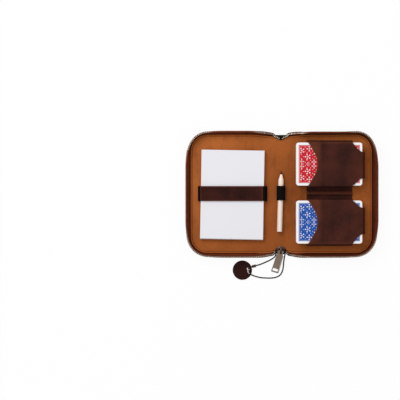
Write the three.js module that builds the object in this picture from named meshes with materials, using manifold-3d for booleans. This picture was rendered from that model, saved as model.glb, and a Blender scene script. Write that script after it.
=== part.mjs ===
// Zip-around playing card case, open flat with its inside up: two decks in a leather pocket, a note pad under an
// elastic strap and a pencil in a loop on the spine. Millimetres, +Z up. The origin is the middle of the spine's
// underside, +X runs over the back half and +Y to the top of the case. Folded shut, the spine turns a quarter
// turn about each of its two edges and the front half lies on the back half.

import * as THREE from "three";
import { mergeVertices } from "three/addons/utils/BufferGeometryUtils.js";
import Module from "manifold-3d";

const wasm = await Module();
wasm.setup();

// Cards, note pad and pencil
const CARD_WIDTH = 58;
const CARD_LENGTH = 89;
const CARD_CORNER_RADIUS = 3.5;
const DECK_THICKNESS = 16;
const TOP_CARD_THICKNESS = 0.3;
const PAD_WIDTH = 85;
const PAD_LENGTH = 120;
const PAD_SHEETS_THICKNESS = 6.2;
const PAD_BACKING_THICKNESS = 0.8;
const PAD_BINDING_THICKNESS = 0.4;
const PENCIL_DIAMETER = 7.5;
const PENCIL_LENGTH = 81.2;
const PENCIL_CONE_LENGTH = 11.6;
const LEAD_DIAMETER = 2.2;
const LEAD_TIP_RADIUS = 0.2;

// Sheets that the case is sewn from
const LEATHER = 1.6;
const BOARD = 1.5;
const LINING = 1;
const GUSSET_THICKNESS = 1.5;
const TAPE_THICKNESS = 0.8;
const POCKET_LEATHER = 1.2;
const STRAP_LEATHER = 1.3;
const ELASTIC = 0.8;

// Clearances: between sewn neighbours, round what slides, and between the halves when shut
const PIECE_GAP = 0.3;
const SLIDE_EASE = 0.3;
const LOOP_EASE = 0.8;
const CLOSING_GAP = 0.9;
const ROW_GAP = 0.3;
const CUT_OVERRUN = 1;

// Layout of the back half
const DECK_SPINE_MARGIN = 20.5;
const DECK_END_MARGIN = 14.5;
const DECK_SIDE_MARGIN = 11.7;
const DECK_HALF_GAP = 10.15;
const POCKET_MIDDLE_Y = 1.65;

// Cover outline
const COVER_CORNER_RADIUS = 24;
const SPINE_HALF_WIDTH = 10;
const BAND_REACH = 26.5;
const DIP_DEPTH = 3.6;
const DIP_START = SPINE_HALF_WIDTH;
const DIP_END = 28;
const BOARD_START = 17;
const BOARD_INSET = 3;
const STIFFENER_INSET = 1.5;
const CORNER_STEPS = 8;
const DIP_STEPS = 6;

// Heights and places that follow
const FLOOR_Z = LEATHER + BOARD + LINING;
const DECK_TOP = FLOOR_Z + DECK_THICKNESS;
const POCKET_TOP = DECK_TOP + SLIDE_EASE + POCKET_LEATHER;
const PAD_THICKNESS = PAD_SHEETS_THICKNESS + PAD_BACKING_THICKNESS;
const PAD_TOP = FLOOR_Z + PAD_THICKNESS;
const ELASTIC_TOP = PAD_TOP + SLIDE_EASE + ELASTIC;
const STRAP_TOP = ELASTIC_TOP + STRAP_LEATHER;
const HALF_DEPTH = (POCKET_TOP + CLOSING_GAP + STRAP_TOP) / 2;
const HINGE_HEIGHT = HALF_DEPTH - SPINE_HALF_WIDTH;
const DECK_START = DECK_SPINE_MARGIN;
const DECK_END = DECK_START + CARD_LENGTH;
const DECK_FAR_Y = DECK_HALF_GAP + CARD_WIDTH;
const COVER_REACH = DECK_END + DECK_END_MARGIN;
const COVER_HALF_HEIGHT = POCKET_MIDDLE_Y + DECK_FAR_Y + DECK_SIDE_MARGIN;
const HALF_START = SPINE_HALF_WIDTH + PIECE_GAP;

// Zipped wall: a gusset strip, the zip tape inside its top and the teeth on the tape
const ROW_SETBACK = 1.1;
const WALL_START = HALF_START + ROW_SETBACK;
const LEAN_SIDE = 6.2;
const LEAN_TOP = 3.7;
const LEAN_BOTTOM = 4.7;
const BULGE_SHARE = 0.6;
const TEETH_HEIGHT = 1.65;
const TEETH_WIDTH = 3.2;
const TEETH_ROOT_WIDTH = 1.6;
const TEETH_PITCH = 2.4;
const TAPE_SHOWING = 2.9;
const TAPE_OVERLAP = 3;
const RISE_START = 12;
const RISE_END = 34;
const GUSSET_LEVELS = 4;

// Card pocket
const POCKET_MOUTH_X = 35.3;
const POCKET_FLANGE = 1.9;
const POCKET_BEND_RADIUS = 2;
const POCKET_END_FOOT = 3;
const MOUTH_DEPTH = 13.7;
const MOUTH_OVERREACH = 2;
const MOUTH_SWEEP_DEG = 80;
const CORNER_CUT_X = 12.7;
const CORNER_CUT_OUTER = 12.8;
const CORNER_CUT_INNER = 9.8;
const CORNER_CUT_SAG = 1.2;
const RIDGE_HALF_WIDTH = 3.3;
const RIDGE_SLOPE = 0.8;
const RIDGE_HEIGHT = 1.7;
const ARC_STEPS = 20;
const BEND_STEPS = 3;

// Strap, loop and what they hold
const PAD_OFFSET = new THREE.Vector2(1.45, -0.3);
const PAD_CENTRE = new THREE.Vector2(PAD_OFFSET.x - (HALF_START + COVER_REACH) / 2, PAD_OFFSET.y);
const PAD_YAW_DEG = 1;
const STRAP_WIDTH = 19;
const STRAP_MIDDLE_Y = 1.4;
const STRAP_CORNER_RADIUS = 1.5;
const ELASTIC_PROUD = 0.25;
const STRAP_LEFT_EASE = 1.2;
const STRAP_RIGHT_EASE = 1;
const STRAP_LEFT_SPREAD = 2.2;
const STRAP_RIGHT_SPREAD = 3.4;
const STRAP_LEATHER_INSET_LEFT = 0.7;
const STRAP_LEATHER_INSET_RIGHT = 2;
const PENCIL_MIDDLE = new THREE.Vector2(-1.1, -10);
const PENCIL_YAW_DEG = 1.83;
const LOOP_MIDDLE = new THREE.Vector2(-0.55, 1.65);
const LOOP_WIDTH = 19.5;
const LOOP_ELASTIC = 0.9;
const LEAD_BORE_EASE = 0.3;
const PENCIL_SIDES = 20;

// Zip ends, slider and pull tab
const TAPE_END_HALF_WIDTH = 9.7;
const TAPE_END_SINK = 0.5;
const TAPE_END_Z = HINGE_HEIGHT - TAPE_END_SINK;
const TAPE_WEB = 1.4;
const TOP_END_INNER_HALF = 1.6;
const TOP_END_DEPTH = 6.2;
const TOP_END_SHOULDER = 1.8;
const TOP_END_OUTREACH = 1.9;
const BOTTOM_END_INREACH = 5.6;
const BOTTOM_END_OUTREACH = 1.7;
const SLIDER_PLATE = 1.2;
const SLIDER_TOP_PLATE = 1.2;
const SLIDER_CHANNEL = 3;
const SLIDER_LENGTH = 12.1;
const SLIDER_NOSE_HALF = 2.6;
const SLIDER_SHOULDER_HALF = 4.6;
const SLIDER_TAIL_HALF = 5.2;
const SLIDER_SHOULDER = 5.5;
const SLIDER_OUTREACH = 2;
const SLIDER_POST_HALF = 1.1;
const SLIDER_POST_INSET = 1.6;
const BRIDGE_HALF_WIDTH = 1;
const BRIDGE_OPENING = 6.8;
const BRIDGE_CLEAR_HEIGHT = 3.6;
const BRIDGE_METAL = 1.5;
const BRIDGE_TAIL_OVERHANG = 0.3;
const TAB_LENGTH = 32;
const TAB_WIDTH = 9;
const TAB_THICKNESS = 1.3;
const TAB_BAR_HEIGHT = 2.6;
const TAB_HEAD_WIDTH = 7.2;
const TAB_HEAD_OPENING = new THREE.Vector2(4.6, 3.9);
const TAB_HEAD_REACH = 6;
const TAB_SLOT = new THREE.Vector2(6.4, 4.6);
const TAB_SLOT_BAR = 1.3;
const TAB_CORNER_RADIUS = 1;
const TAB_YAW_DEG = -17;
const TAB_SLOPE_DEG = 20.5;
const TAB_OFFSET_X = 0.4;

// Ball chain, its connector and the leather tag on the ground beside the case
const CHAIN_DIAMETER = 2.2;
const CHAIN_SIDES = 8;
const CHAIN_STEPS = 78;
const CONNECTOR_LENGTH = 5.5;
const CONNECTOR_WALL = 0.5;
const CONNECTOR_EASE = 0.4;
const CONNECTOR_FROM = 10;
const TAG_RADIUS = 12.8;
const TAG_THICKNESS = 1.8;
const TAG_HOLE_RADIUS = 3;
const TAG_HOLE_OFFSET = new THREE.Vector2(8.2, 0.9);
const TAG_CENTRE = new THREE.Vector2(-52.2, -102.4);
const TAG_TILT_DEG = 7.1;
const ROUND_STEPS = 40;

// The chain's route: under the slider's bridge, down its left side to the ground, under the tag, up through the
// tag's hole, over the tag and back along the ground to the slider's right side.
const CHAIN_ROUTE = [
  [-0.35, -74.3, 11.6],
  [-3.2, -74.3, 11.5],
  [-6.1, -75.2, 10.9],
  [-7.5, -77.9, 10],
  [-8, -81.4, 8.4],
  [-9.3, -85, 5.7],
  [-12, -87.9, 3],
  [-16.2, -90.6, 1.5],
  [-22.4, -93.4, 1.25],
  [-27.8, -95.2, 1.4],
  [-33.3, -96.7, 2.05],
  [-39.1, -98.3, 2.05],
  [-41.8, -99.2, 1.25],
  [-43.1, -100.1, 1.75],
  [-44, -101.3, 3.5],
  [-44.4, -102.6, 5.2],
  [-44.5, -104.4, 6],
  [-43.7, -106.2, 6.1],
  [-42.1, -107.7, 6.2],
  [-39.9, -109, 5.9],
  [-37, -110.3, 4.4],
  [-34.2, -111.3, 2.6],
  [-31, -112.2, 1.4],
  [-26, -113.2, 1.2],
  [-19.4, -113.6, 1.2],
  [-12, -113.6, 1.2],
  [-5.6, -112.4, 1.2],
  [-1.2, -109, 1.2],
  [1.4, -104, 1.2],
  [2.5, -98, 1.2],
  [3.2, -93, 1.7],
  [4.3, -88, 4],
  [5.6, -83.8, 7.4],
  [6.4, -80.4, 9.9],
  [6, -77.4, 11.1],
  [4.2, -75.2, 11.5],
  [0.35, -74.3, 11.6],
];

// Materials
const looks = {
  outerLeather: { color: 0x5c2a1c, roughness: 0.6 },
  gussetLeather: { color: 0x4a2318, roughness: 0.65 },
  pocketLeather: { color: 0x44201c, roughness: 0.6 },
  strapLeather: { color: 0x3e1c19, roughness: 0.55 },
  lining: { color: 0xa55a28, roughness: 0.9 },
  board: { color: 0x8f8578, roughness: 0.9 },
  elastic: { color: 0x111112, roughness: 0.85 },
  tape: { color: 0x161415, roughness: 0.85 },
  teeth: { color: 0xb9b6ae, roughness: 0.35, metalness: 0.9 },
  slider: { color: 0x3a3a3c, roughness: 0.35, metalness: 0.9 },
  tab: { color: 0x83756b, roughness: 0.45, metalness: 0.8 },
  chain: { color: 0x7b7670, roughness: 0.3, metalness: 0.9 },
  connector: { color: 0x8a6a3c, roughness: 0.35, metalness: 0.9 },
  cardStock: { color: 0xf2f1ee, roughness: 0.5 },
  redBack: { color: 0xcc1430, roughness: 0.4 },
  blueBack: { color: 0x1946a4, roughness: 0.4 },
  paper: { color: 0xe8e8ee, roughness: 0.8 },
  greyBoard: { color: 0xa9a49b, roughness: 0.9 },
  wood: { color: 0xf6dcc4, roughness: 0.6 },
  graphite: { color: 0x3a3c40, roughness: 0.5 },
};

function piece(name, geometry, look) {
  const mesh = new THREE.Mesh(geometry, new THREE.MeshStandardMaterial(looks[look]));
  mesh.name = name;
  return mesh;
}

// Booleans on closed geometries
function toSolid(geometry) {
  const bare = geometry.clone();
  bare.deleteAttribute("normal");
  bare.deleteAttribute("uv");
  const merged = mergeVertices(bare, 1e-4);
  return new wasm.Manifold(
    new wasm.Mesh({
      numProp: 3,
      vertProperties: new Float32Array(merged.attributes.position.array),
      triVerts: new Uint32Array(merged.index.array),
    }),
  );
}

function toGeometry(solid) {
  const mesh = solid.getMesh();
  const geometry = new THREE.BufferGeometry();
  geometry.setAttribute("position", new THREE.BufferAttribute(mesh.vertProperties, 3));
  geometry.setIndex(new THREE.BufferAttribute(mesh.triVerts, 1));
  geometry.computeVertexNormals();
  return geometry;
}

const join = (geometries) => toGeometry(geometries.map(toSolid).reduce((sum, solid) => sum.add(solid)));

function cut(geometry, cutters) {
  return toGeometry(cutters.map(toSolid).reduce((rest, cutter) => rest.subtract(cutter), toSolid(geometry)));
}

// Extrusions along the three axes, from an outline in the other two
function extruded(shape, length) {
  return new THREE.ExtrudeGeometry(shape, { depth: length, bevelEnabled: false, steps: 1 });
}

// Outline in XY, raised from one height to another
function slab(points, fromZ, toZ) {
  return extruded(new THREE.Shape(points), toZ - fromZ).translate(0, 0, fromZ);
}

// Outline in YZ, swept along X
function sweptAlongX(points, fromX, toX) {
  const turn = new THREE.Matrix4().makeBasis(
    new THREE.Vector3(0, 1, 0),
    new THREE.Vector3(0, 0, 1),
    new THREE.Vector3(1, 0, 0),
  );
  return extruded(new THREE.Shape(points), toX - fromX).applyMatrix4(turn).translate(fromX, 0, 0);
}

// Outline in XZ, swept along Y
function sweptAlongY(points, fromY, toY) {
  const turned = points.map((point) => new THREE.Vector2(point.y, point.x));
  const turn = new THREE.Matrix4().makeBasis(
    new THREE.Vector3(0, 0, 1),
    new THREE.Vector3(1, 0, 0),
    new THREE.Vector3(0, 1, 0),
  );
  return extruded(new THREE.Shape(turned), toY - fromY).applyMatrix4(turn).translate(0, fromY, 0);
}

const at = (x, y) => new THREE.Vector2(x, y);

function arc(centreX, centreY, radius, fromDeg, toDeg, steps) {
  const points = [];
  for (let i = 0; i <= steps; i++) {
    const angle = THREE.MathUtils.degToRad(THREE.MathUtils.lerp(fromDeg, toDeg, i / steps));
    points.push(at(centreX + radius * Math.cos(angle), centreY + radius * Math.sin(angle)));
  }
  return points;
}

function roundedRectangle(fromX, fromY, toX, toY, radius) {
  return [
    ...arc(toX - radius, toY - radius, radius, 0, 90, BEND_STEPS),
    ...arc(fromX + radius, toY - radius, radius, 90, 180, BEND_STEPS),
    ...arc(fromX + radius, fromY + radius, radius, 180, 270, BEND_STEPS),
    ...arc(toX - radius, fromY + radius, radius, 270, 360, BEND_STEPS),
  ];
}

// The same geometry on the other side of the spine
function mirrored(geometry) {
  const flat = geometry.index ? geometry.toNonIndexed() : geometry.clone();
  const position = flat.attributes.position;
  for (let i = 0; i < position.count; i += 3) {
    const first = new THREE.Vector3().fromBufferAttribute(position, i);
    const second = new THREE.Vector3().fromBufferAttribute(position, i + 1);
    const third = new THREE.Vector3().fromBufferAttribute(position, i + 2);
    position.setXYZ(i, -first.x, first.y, first.z);
    position.setXYZ(i + 1, -third.x, third.y, third.z);
    position.setXYZ(i + 2, -second.x, second.y, second.z);
  }
  flat.computeVertexNormals();
  return flat;
}

// Half height of the cover at a distance from the spine's middle: it dips towards the spine
function dipAt(x) {
  return DIP_DEPTH * THREE.MathUtils.smoothstep(DIP_END - x, 0, DIP_END - DIP_START);
}

const edgeHeight = (x) => COVER_HALF_HEIGHT - dipAt(x);

function edgeSlope(x) {
  const share = THREE.MathUtils.clamp((DIP_END - x) / (DIP_END - DIP_START), 0, 1);
  return (DIP_DEPTH * 6 * share * (1 - share)) / (DIP_END - DIP_START);
}

// Outline of one half, inset from the cover's edge, from a distance off the spine's middle to an optional end
function halfOutline(inset, fromX, toX = COVER_REACH - inset) {
  const upper = [];
  const dipEnd = Math.min(DIP_END, toX);
  for (let i = 0; i <= DIP_STEPS; i++) {
    const x = THREE.MathUtils.lerp(fromX, dipEnd, i / DIP_STEPS);
    upper.push(at(x, edgeHeight(x) - inset));
  }
  if (toX > DIP_END) {
    const centreX = COVER_REACH - COVER_CORNER_RADIUS;
    const centreY = COVER_HALF_HEIGHT - COVER_CORNER_RADIUS;
    upper.push(...arc(centreX, centreY, COVER_CORNER_RADIUS - inset, 90, 0, CORNER_STEPS));
  }
  const lower = upper.map((point) => at(point.x, -point.y)).reverse();
  return [...upper, ...lower];
}

// Outline of the spine, inset from its two ends
function spineOutline(halfWidth, inset) {
  const halfHeight = edgeHeight(0) - inset;
  return [
    at(-halfWidth, -halfHeight),
    at(halfWidth, -halfHeight),
    at(halfWidth, halfHeight),
    at(-halfWidth, halfHeight),
  ];
}

// Stations round the rim of the back half, each with its outward direction and the height of the zip's top there
function rimStations() {
  const zipTop = HALF_DEPTH - ROW_GAP / 2;
  const lowTop = HINGE_HEIGHT - ROW_GAP / 2;
  const inset = GUSSET_THICKNESS / 2;
  const topAt = (x) => lowTop + (zipTop - lowTop) * THREE.MathUtils.smoothstep(x, RISE_START, RISE_END);
  const leanAt = (normal, side) => LEAN_SIDE * normal.x ** 2 + side * normal.y ** 2;
  const upper = [];
  const steps = 2 * DIP_STEPS;
  for (let i = 0; i <= steps; i++) {
    const x = THREE.MathUtils.lerp(WALL_START, RISE_END, i / steps);
    const normal = at(-edgeSlope(x), 1).normalize();
    upper.push({ place: at(x, edgeHeight(x) - inset), normal, top: topAt(x) });
  }
  const centreX = COVER_REACH - COVER_CORNER_RADIUS;
  const centreY = COVER_HALF_HEIGHT - COVER_CORNER_RADIUS;
  const directions = arc(0, 0, 1, 90, 0, CORNER_STEPS);
  for (const normal of directions) {
    const reach = COVER_CORNER_RADIUS - inset;
    upper.push({ place: at(centreX + reach * normal.x, centreY + reach * normal.y), normal, top: zipTop });
  }
  const flip = (point) => at(point.x, -point.y);
  const lower = upper.map((s) => ({ place: flip(s.place), normal: flip(s.normal), top: s.top })).reverse();
  return [
    ...upper.map((s) => ({ ...s, lean: leanAt(s.normal, LEAN_TOP) })),
    ...lower.map((s) => ({ ...s, lean: leanAt(s.normal, LEAN_BOTTOM) })),
  ];
}

// The same rim as evenly spaced stations
function evenStations(stations, spacing) {
  const distances = [0];
  for (let i = 1; i < stations.length; i++) {
    distances.push(distances[i - 1] + stations[i].place.distanceTo(stations[i - 1].place));
  }
  const total = distances[distances.length - 1];
  const count = Math.round(total / spacing);
  const even = [];
  let segment = 1;
  for (let i = 0; i <= count; i++) {
    const along = (total * i) / count;
    while (segment < stations.length - 1 && distances[segment] < along) segment += 1;
    const before = stations[segment - 1];
    const after = stations[segment];
    const share = (along - distances[segment - 1]) / (distances[segment] - distances[segment - 1]);
    even.push({
      place: before.place.clone().lerp(after.place, share),
      normal: before.normal.clone().lerp(after.normal, share).normalize(),
      top: THREE.MathUtils.lerp(before.top, after.top, share),
      lean: THREE.MathUtils.lerp(before.lean, after.lean, share),
    });
  }
  return even;
}

// A point of the leaning, slightly bulged wall at a height, shifted inwards from the gusset's middle
function wallPoint(station, z, inward) {
  const share = (z - LEATHER) / (station.top - LEATHER);
  const out = station.lean * share * (1 + BULGE_SHARE * (1 - share)) - inward;
  return new THREE.Vector3(station.place.x + station.normal.x * out, station.place.y + station.normal.y * out, z);
}

// One section of the wall: up its outer side and down its inner side
function wallSection(station, fromZ, toZ, inward, thickness, levels) {
  const ring = [];
  for (let i = 0; i <= levels; i++) {
    ring.push(wallPoint(station, THREE.MathUtils.lerp(fromZ, toZ, i / levels), inward - thickness / 2));
  }
  for (let i = levels; i >= 0; i--) {
    ring.push(wallPoint(station, THREE.MathUtils.lerp(fromZ, toZ, i / levels), inward + thickness / 2));
  }
  return ring;
}

// Closed skin through sections of equal point count, each made as an outer side and an inner side
function loft(sections) {
  const size = sections[0].length;
  const positions = [];
  const indices = [];
  for (const section of sections) {
    for (const point of section) positions.push(point.x, point.y, point.z);
  }
  for (let s = 0; s + 1 < sections.length; s++) {
    for (let i = 0; i < size; i++) {
      const j = (i + 1) % size;
      const near = s * size;
      const far = near + size;
      indices.push(near + i, far + j, far + i, near + i, near + j, far + j);
    }
  }
  const last = (sections.length - 1) * size;
  for (let i = 0; i + 1 < size / 2; i++) {
    const across = size - 1 - i;
    indices.push(i, across - 1, i + 1, i, across, across - 1);
    indices.push(last + i, last + i + 1, last + across - 1, last + i, last + across - 1, last + across);
  }
  const geometry = new THREE.BufferGeometry();
  geometry.setAttribute("position", new THREE.Float32BufferAttribute(positions, 3));
  geometry.setIndex(indices);
  geometry.computeVertexNormals();
  return geometry;
}

const stations = rimStations();
const teethBottom = (station) => station.top - TEETH_HEIGHT;
const tapeTop = (station) => teethBottom(station) - PIECE_GAP;
const gussetTop = (station) => Math.max(tapeTop(station) - TAPE_SHOWING, LEATHER + LINING);
const tapeInward = GUSSET_THICKNESS / 2 + PIECE_GAP + TAPE_THICKNESS / 2;

function gusset() {
  return loft(stations.map((s) => wallSection(s, LEATHER, gussetTop(s), 0, GUSSET_THICKNESS, GUSSET_LEVELS)));
}

function zipTape() {
  const bottom = (s) => Math.max(gussetTop(s) - TAPE_OVERLAP, FLOOR_Z + PIECE_GAP);
  return loft(stations.map((s) => wallSection(s, bottom(s), tapeTop(s), tapeInward, TAPE_THICKNESS, 1)));
}

// One row of teeth as a single toothed strip, wide at each tooth and narrow between them
function zipTeeth() {
  const places = evenStations(stations, TEETH_PITCH / 2);
  return loft(
    places.map((s, i) => {
      const width = i % 2 ? TEETH_WIDTH : TEETH_ROOT_WIDTH;
      return wallSection(s, teethBottom(s), s.top, tapeInward, width, 1);
    }),
  );
}

// Leather, board and lining of the back half; the front half is their mirror image
const halfParts = {
  cover_leather: [slab(halfOutline(0, BAND_REACH + PIECE_GAP), 0, LEATHER), "outerLeather"],
  spine_flap: [slab(halfOutline(0, HALF_START, BAND_REACH), 0, LEATHER), "outerLeather"],
  board: [slab(halfOutline(BOARD_INSET, BOARD_START), LEATHER, LEATHER + BOARD), "board"],
  lining: [
    slab(halfOutline(GUSSET_THICKNESS + PIECE_GAP, HALF_START), LEATHER + BOARD, FLOOR_Z),
    "lining",
  ],
  gusset: [gusset(), "gussetLeather"],
  zip_tape: [zipTape(), "tape"],
  zip_teeth: [zipTeeth(), "teeth"],
};

function spine() {
  const stiffenerHalf = SPINE_HALF_WIDTH - STIFFENER_INSET;
  const liningInset = GUSSET_THICKNESS + PIECE_GAP;
  return [
    piece("spine_leather", slab(spineOutline(SPINE_HALF_WIDTH, 0), 0, LEATHER), "outerLeather"),
    piece(
      "spine_stiffener",
      slab(spineOutline(stiffenerHalf, BOARD_INSET), LEATHER, LEATHER + BOARD),
      "board",
    ),
    piece(
      "spine_lining",
      slab(spineOutline(SPINE_HALF_WIDTH, liningInset), LEATHER + BOARD, FLOOR_Z),
      "lining",
    ),
  ];
}

// Each deck: the stack of cards and the patterned card on top
function deck(colour, middleY) {
  const outline = roundedRectangle(
    DECK_START,
    middleY - CARD_WIDTH / 2,
    DECK_END,
    middleY + CARD_WIDTH / 2,
    CARD_CORNER_RADIUS,
  );
  return [
    piece(colour + "_deck_stack", slab(outline, FLOOR_Z, DECK_TOP - TOP_CARD_THICKNESS), "cardStock"),
    piece(colour + "_top_card", slab(outline, DECK_TOP - TOP_CARD_THICKNESS, DECK_TOP), colour + "Back"),
  ];
}

// Section of the pocket on one side of its middle line, from the sewn edge to the ridge and back under it
function pocketHalfSection() {
  const innerNear = DECK_HALF_GAP - SLIDE_EASE;
  const outerNear = innerNear - POCKET_LEATHER;
  const innerFar = DECK_FAR_Y + SLIDE_EASE;
  const outerFar = innerFar + POCKET_LEATHER;
  const bend = POCKET_BEND_RADIUS;
  const innerBend = bend - POCKET_LEATHER;
  const sheetTop = FLOOR_Z + POCKET_LEATHER;
  const outer = [
    at(outerFar + POCKET_FLANGE, FLOOR_Z),
    at(outerFar + POCKET_FLANGE, sheetTop),
    at(outerFar, sheetTop),
    ...arc(outerFar - bend, POCKET_TOP - bend, bend, 0, 90, BEND_STEPS),
    ...arc(outerNear + bend, POCKET_TOP - bend, bend, 90, 180, BEND_STEPS),
    at(outerNear, sheetTop),
    at(RIDGE_HALF_WIDTH, sheetTop),
    at(RIDGE_HALF_WIDTH - RIDGE_SLOPE, sheetTop + RIDGE_HEIGHT),
  ];
  const inner = [
    at(innerNear, FLOOR_Z),
    ...arc(innerNear + innerBend, POCKET_TOP - bend, innerBend, 180, 90, BEND_STEPS),
    ...arc(innerFar - innerBend, POCKET_TOP - bend, innerBend, 90, 0, BEND_STEPS),
    at(innerFar, FLOOR_Z),
  ];
  return { outer, inner };
}

// Cutter for one of the pocket's cut-away corners: its slanted, slightly hollow side runs from the wall line to
// the end wall's edge, and it reaches past the wall line. Distances are from the pocket's middle line.
function cornerCutter(wallY, edgeY, reach, side) {
  const from = at(DECK_END - CORNER_CUT_X, wallY);
  const to = at(DECK_END, edgeY);
  const sag = to.clone().sub(from).rotateAround(at(0, 0), Math.PI / 2).normalize();
  const towardsPanel = sag.x < 0 ? 1 : -1;
  const middle = from.clone().lerp(to, 0.5).addScaledVector(sag, CORNER_CUT_SAG * towardsPanel);
  const curve = new THREE.SplineCurve([from, middle, to]).getPoints(2 * BEND_STEPS);
  const past = POCKET_END_FOOT + POCKET_LEATHER + CUT_OVERRUN;
  const points = [
    at(from.x, wallY + reach),
    ...curve,
    at(DECK_END + past, edgeY),
    at(DECK_END + past, wallY + reach),
  ].map((point) => at(point.x, POCKET_MIDDLE_Y + side * point.y));
  return slab(points, FLOOR_Z - CUT_OVERRUN, POCKET_TOP + CUT_OVERRUN);
}

function cardPocket() {
  const { outer, inner } = pocketHalfSection();
  const place = (side) => (point) => at(POCKET_MIDDLE_Y + side * point.x, point.y);
  const section = [
    ...outer.map(place(1)),
    ...outer.map(place(-1)).reverse(),
    ...inner.map(place(-1)).reverse(),
    ...inner.map(place(1)),
  ];
  const endInner = DECK_END + SLIDE_EASE;
  const endOuter = endInner + POCKET_LEATHER;
  const sheet = sweptAlongX(section, POCKET_MOUTH_X, endOuter);

  const endSection = [
    at(endInner, FLOOR_Z),
    at(endOuter + POCKET_END_FOOT, FLOOR_Z),
    at(endOuter + POCKET_END_FOOT, FLOOR_Z + POCKET_LEATHER),
    at(endOuter, POCKET_TOP - POCKET_BEND_RADIUS),
    at(endOuter - POCKET_LEATHER / 2, POCKET_TOP),
    at(endInner - POCKET_LEATHER, POCKET_TOP),
    at(endInner - POCKET_LEATHER, POCKET_TOP - POCKET_LEATHER),
    at(endInner, POCKET_TOP - POCKET_LEATHER),
  ];
  const endNear = DECK_HALF_GAP + CORNER_CUT_INNER;
  const endFar = DECK_FAR_Y - CORNER_CUT_OUTER;
  const ends = [1, -1].map((side) => {
    const edges = [POCKET_MIDDLE_Y + side * endNear, POCKET_MIDDLE_Y + side * endFar];
    return sweptAlongY(endSection, Math.min(...edges), Math.max(...edges));
  });

  // The strip between the decks ends where the corners are cut away
  const stripHalf = DECK_HALF_GAP - SLIDE_EASE - POCKET_LEATHER;
  const stripEnd = [
    at(DECK_END - CORNER_CUT_X, POCKET_MIDDLE_Y - stripHalf - PIECE_GAP),
    at(endOuter + CUT_OVERRUN, POCKET_MIDDLE_Y - stripHalf - PIECE_GAP),
    at(endOuter + CUT_OVERRUN, POCKET_MIDDLE_Y + stripHalf + PIECE_GAP),
    at(DECK_END - CORNER_CUT_X, POCKET_MIDDLE_Y + stripHalf + PIECE_GAP),
  ];

  const halfChord = CARD_WIDTH / 2 + MOUTH_OVERREACH;
  const mouthRadius = (halfChord ** 2 + MOUTH_DEPTH ** 2) / (2 * MOUTH_DEPTH);
  const mouthCentreX = POCKET_MOUTH_X + MOUTH_DEPTH - mouthRadius;
  const deckMiddle = DECK_HALF_GAP + CARD_WIDTH / 2;
  const cutters = [1, -1].flatMap((side) => {
    const mouth = [
      at(mouthCentreX, POCKET_MIDDLE_Y + side * deckMiddle - mouthRadius),
      ...arc(mouthCentreX, POCKET_MIDDLE_Y + side * deckMiddle, mouthRadius, -MOUTH_SWEEP_DEG, MOUTH_SWEEP_DEG, ARC_STEPS),
      at(mouthCentreX, POCKET_MIDDLE_Y + side * deckMiddle + mouthRadius),
    ];
    return [
      slab(mouth, FLOOR_Z - CUT_OVERRUN, POCKET_TOP + CUT_OVERRUN),
      cornerCutter(DECK_FAR_Y, endFar, SLIDE_EASE + POCKET_LEATHER + POCKET_FLANGE + CUT_OVERRUN, side),
      cornerCutter(DECK_HALF_GAP - SLIDE_EASE - POCKET_LEATHER, endNear, 0, side),
    ];
  });
  cutters.push(slab(stripEnd, FLOOR_Z - CUT_OVERRUN, POCKET_TOP + CUT_OVERRUN));
  return cut(join([sheet, ...ends]), cutters);
}

// Elastic band over the note pad, its two legs spreading to the lining
function strapElastic() {
  const innerTop = PAD_TOP + SLIDE_EASE;
  const left = PAD_CENTRE.x - PAD_WIDTH / 2 - STRAP_LEFT_EASE;
  const right = PAD_CENTRE.x + PAD_WIDTH / 2 + STRAP_RIGHT_EASE;
  const section = [
    at(left - STRAP_LEFT_SPREAD - ELASTIC, FLOOR_Z),
    at(left - STRAP_LEFT_SPREAD, FLOOR_Z),
    at(left, innerTop),
    at(right, innerTop),
    at(right + STRAP_RIGHT_SPREAD, FLOOR_Z),
    at(right + STRAP_RIGHT_SPREAD + ELASTIC, FLOOR_Z),
    at(right + ELASTIC / 2, ELASTIC_TOP),
    at(left - ELASTIC / 2, ELASTIC_TOP),
  ];
  const half = STRAP_WIDTH / 2 + ELASTIC_PROUD;
  return sweptAlongY(section, STRAP_MIDDLE_Y - half, STRAP_MIDDLE_Y + half);
}

function strapLeather() {
  const outline = roundedRectangle(
    PAD_CENTRE.x - PAD_WIDTH / 2 - STRAP_LEATHER_INSET_LEFT,
    STRAP_MIDDLE_Y - STRAP_WIDTH / 2,
    PAD_CENTRE.x + PAD_WIDTH / 2 - STRAP_LEATHER_INSET_RIGHT + STRAP_RIGHT_EASE,
    STRAP_MIDDLE_Y + STRAP_WIDTH / 2,
    STRAP_CORNER_RADIUS,
  );
  return slab(outline, ELASTIC_TOP, STRAP_TOP);
}

// Note pad: grey backing, glued sheets and the gummed strip on their bottom edge
function notePad() {
  const pad = new THREE.Group();
  pad.position.set(PAD_CENTRE.x, PAD_CENTRE.y, 0);
  pad.rotation.z = -THREE.MathUtils.degToRad(PAD_YAW_DEG);
  const half = at(PAD_WIDTH / 2, PAD_LENGTH / 2);
  const outline = [at(-half.x, -half.y), at(half.x, -half.y), at(half.x, half.y), at(-half.x, half.y)];
  const sheetsFrom = FLOOR_Z + PAD_BACKING_THICKNESS;
  pad.add(piece("note_backing", slab(outline, FLOOR_Z, sheetsFrom), "greyBoard"));
  pad.add(piece("note_sheets", slab(outline, sheetsFrom, PAD_TOP), "paper"));
  const binding = new THREE.BoxGeometry(PAD_WIDTH, PAD_BINDING_THICKNESS, PAD_THICKNESS);
  const bindingY = -half.y - PIECE_GAP - PAD_BINDING_THICKNESS / 2;
  binding.translate(0, bindingY, FLOOR_Z + PAD_THICKNESS / 2);
  pad.add(piece("note_binding", binding, "paper"));
  return pad;
}

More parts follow.
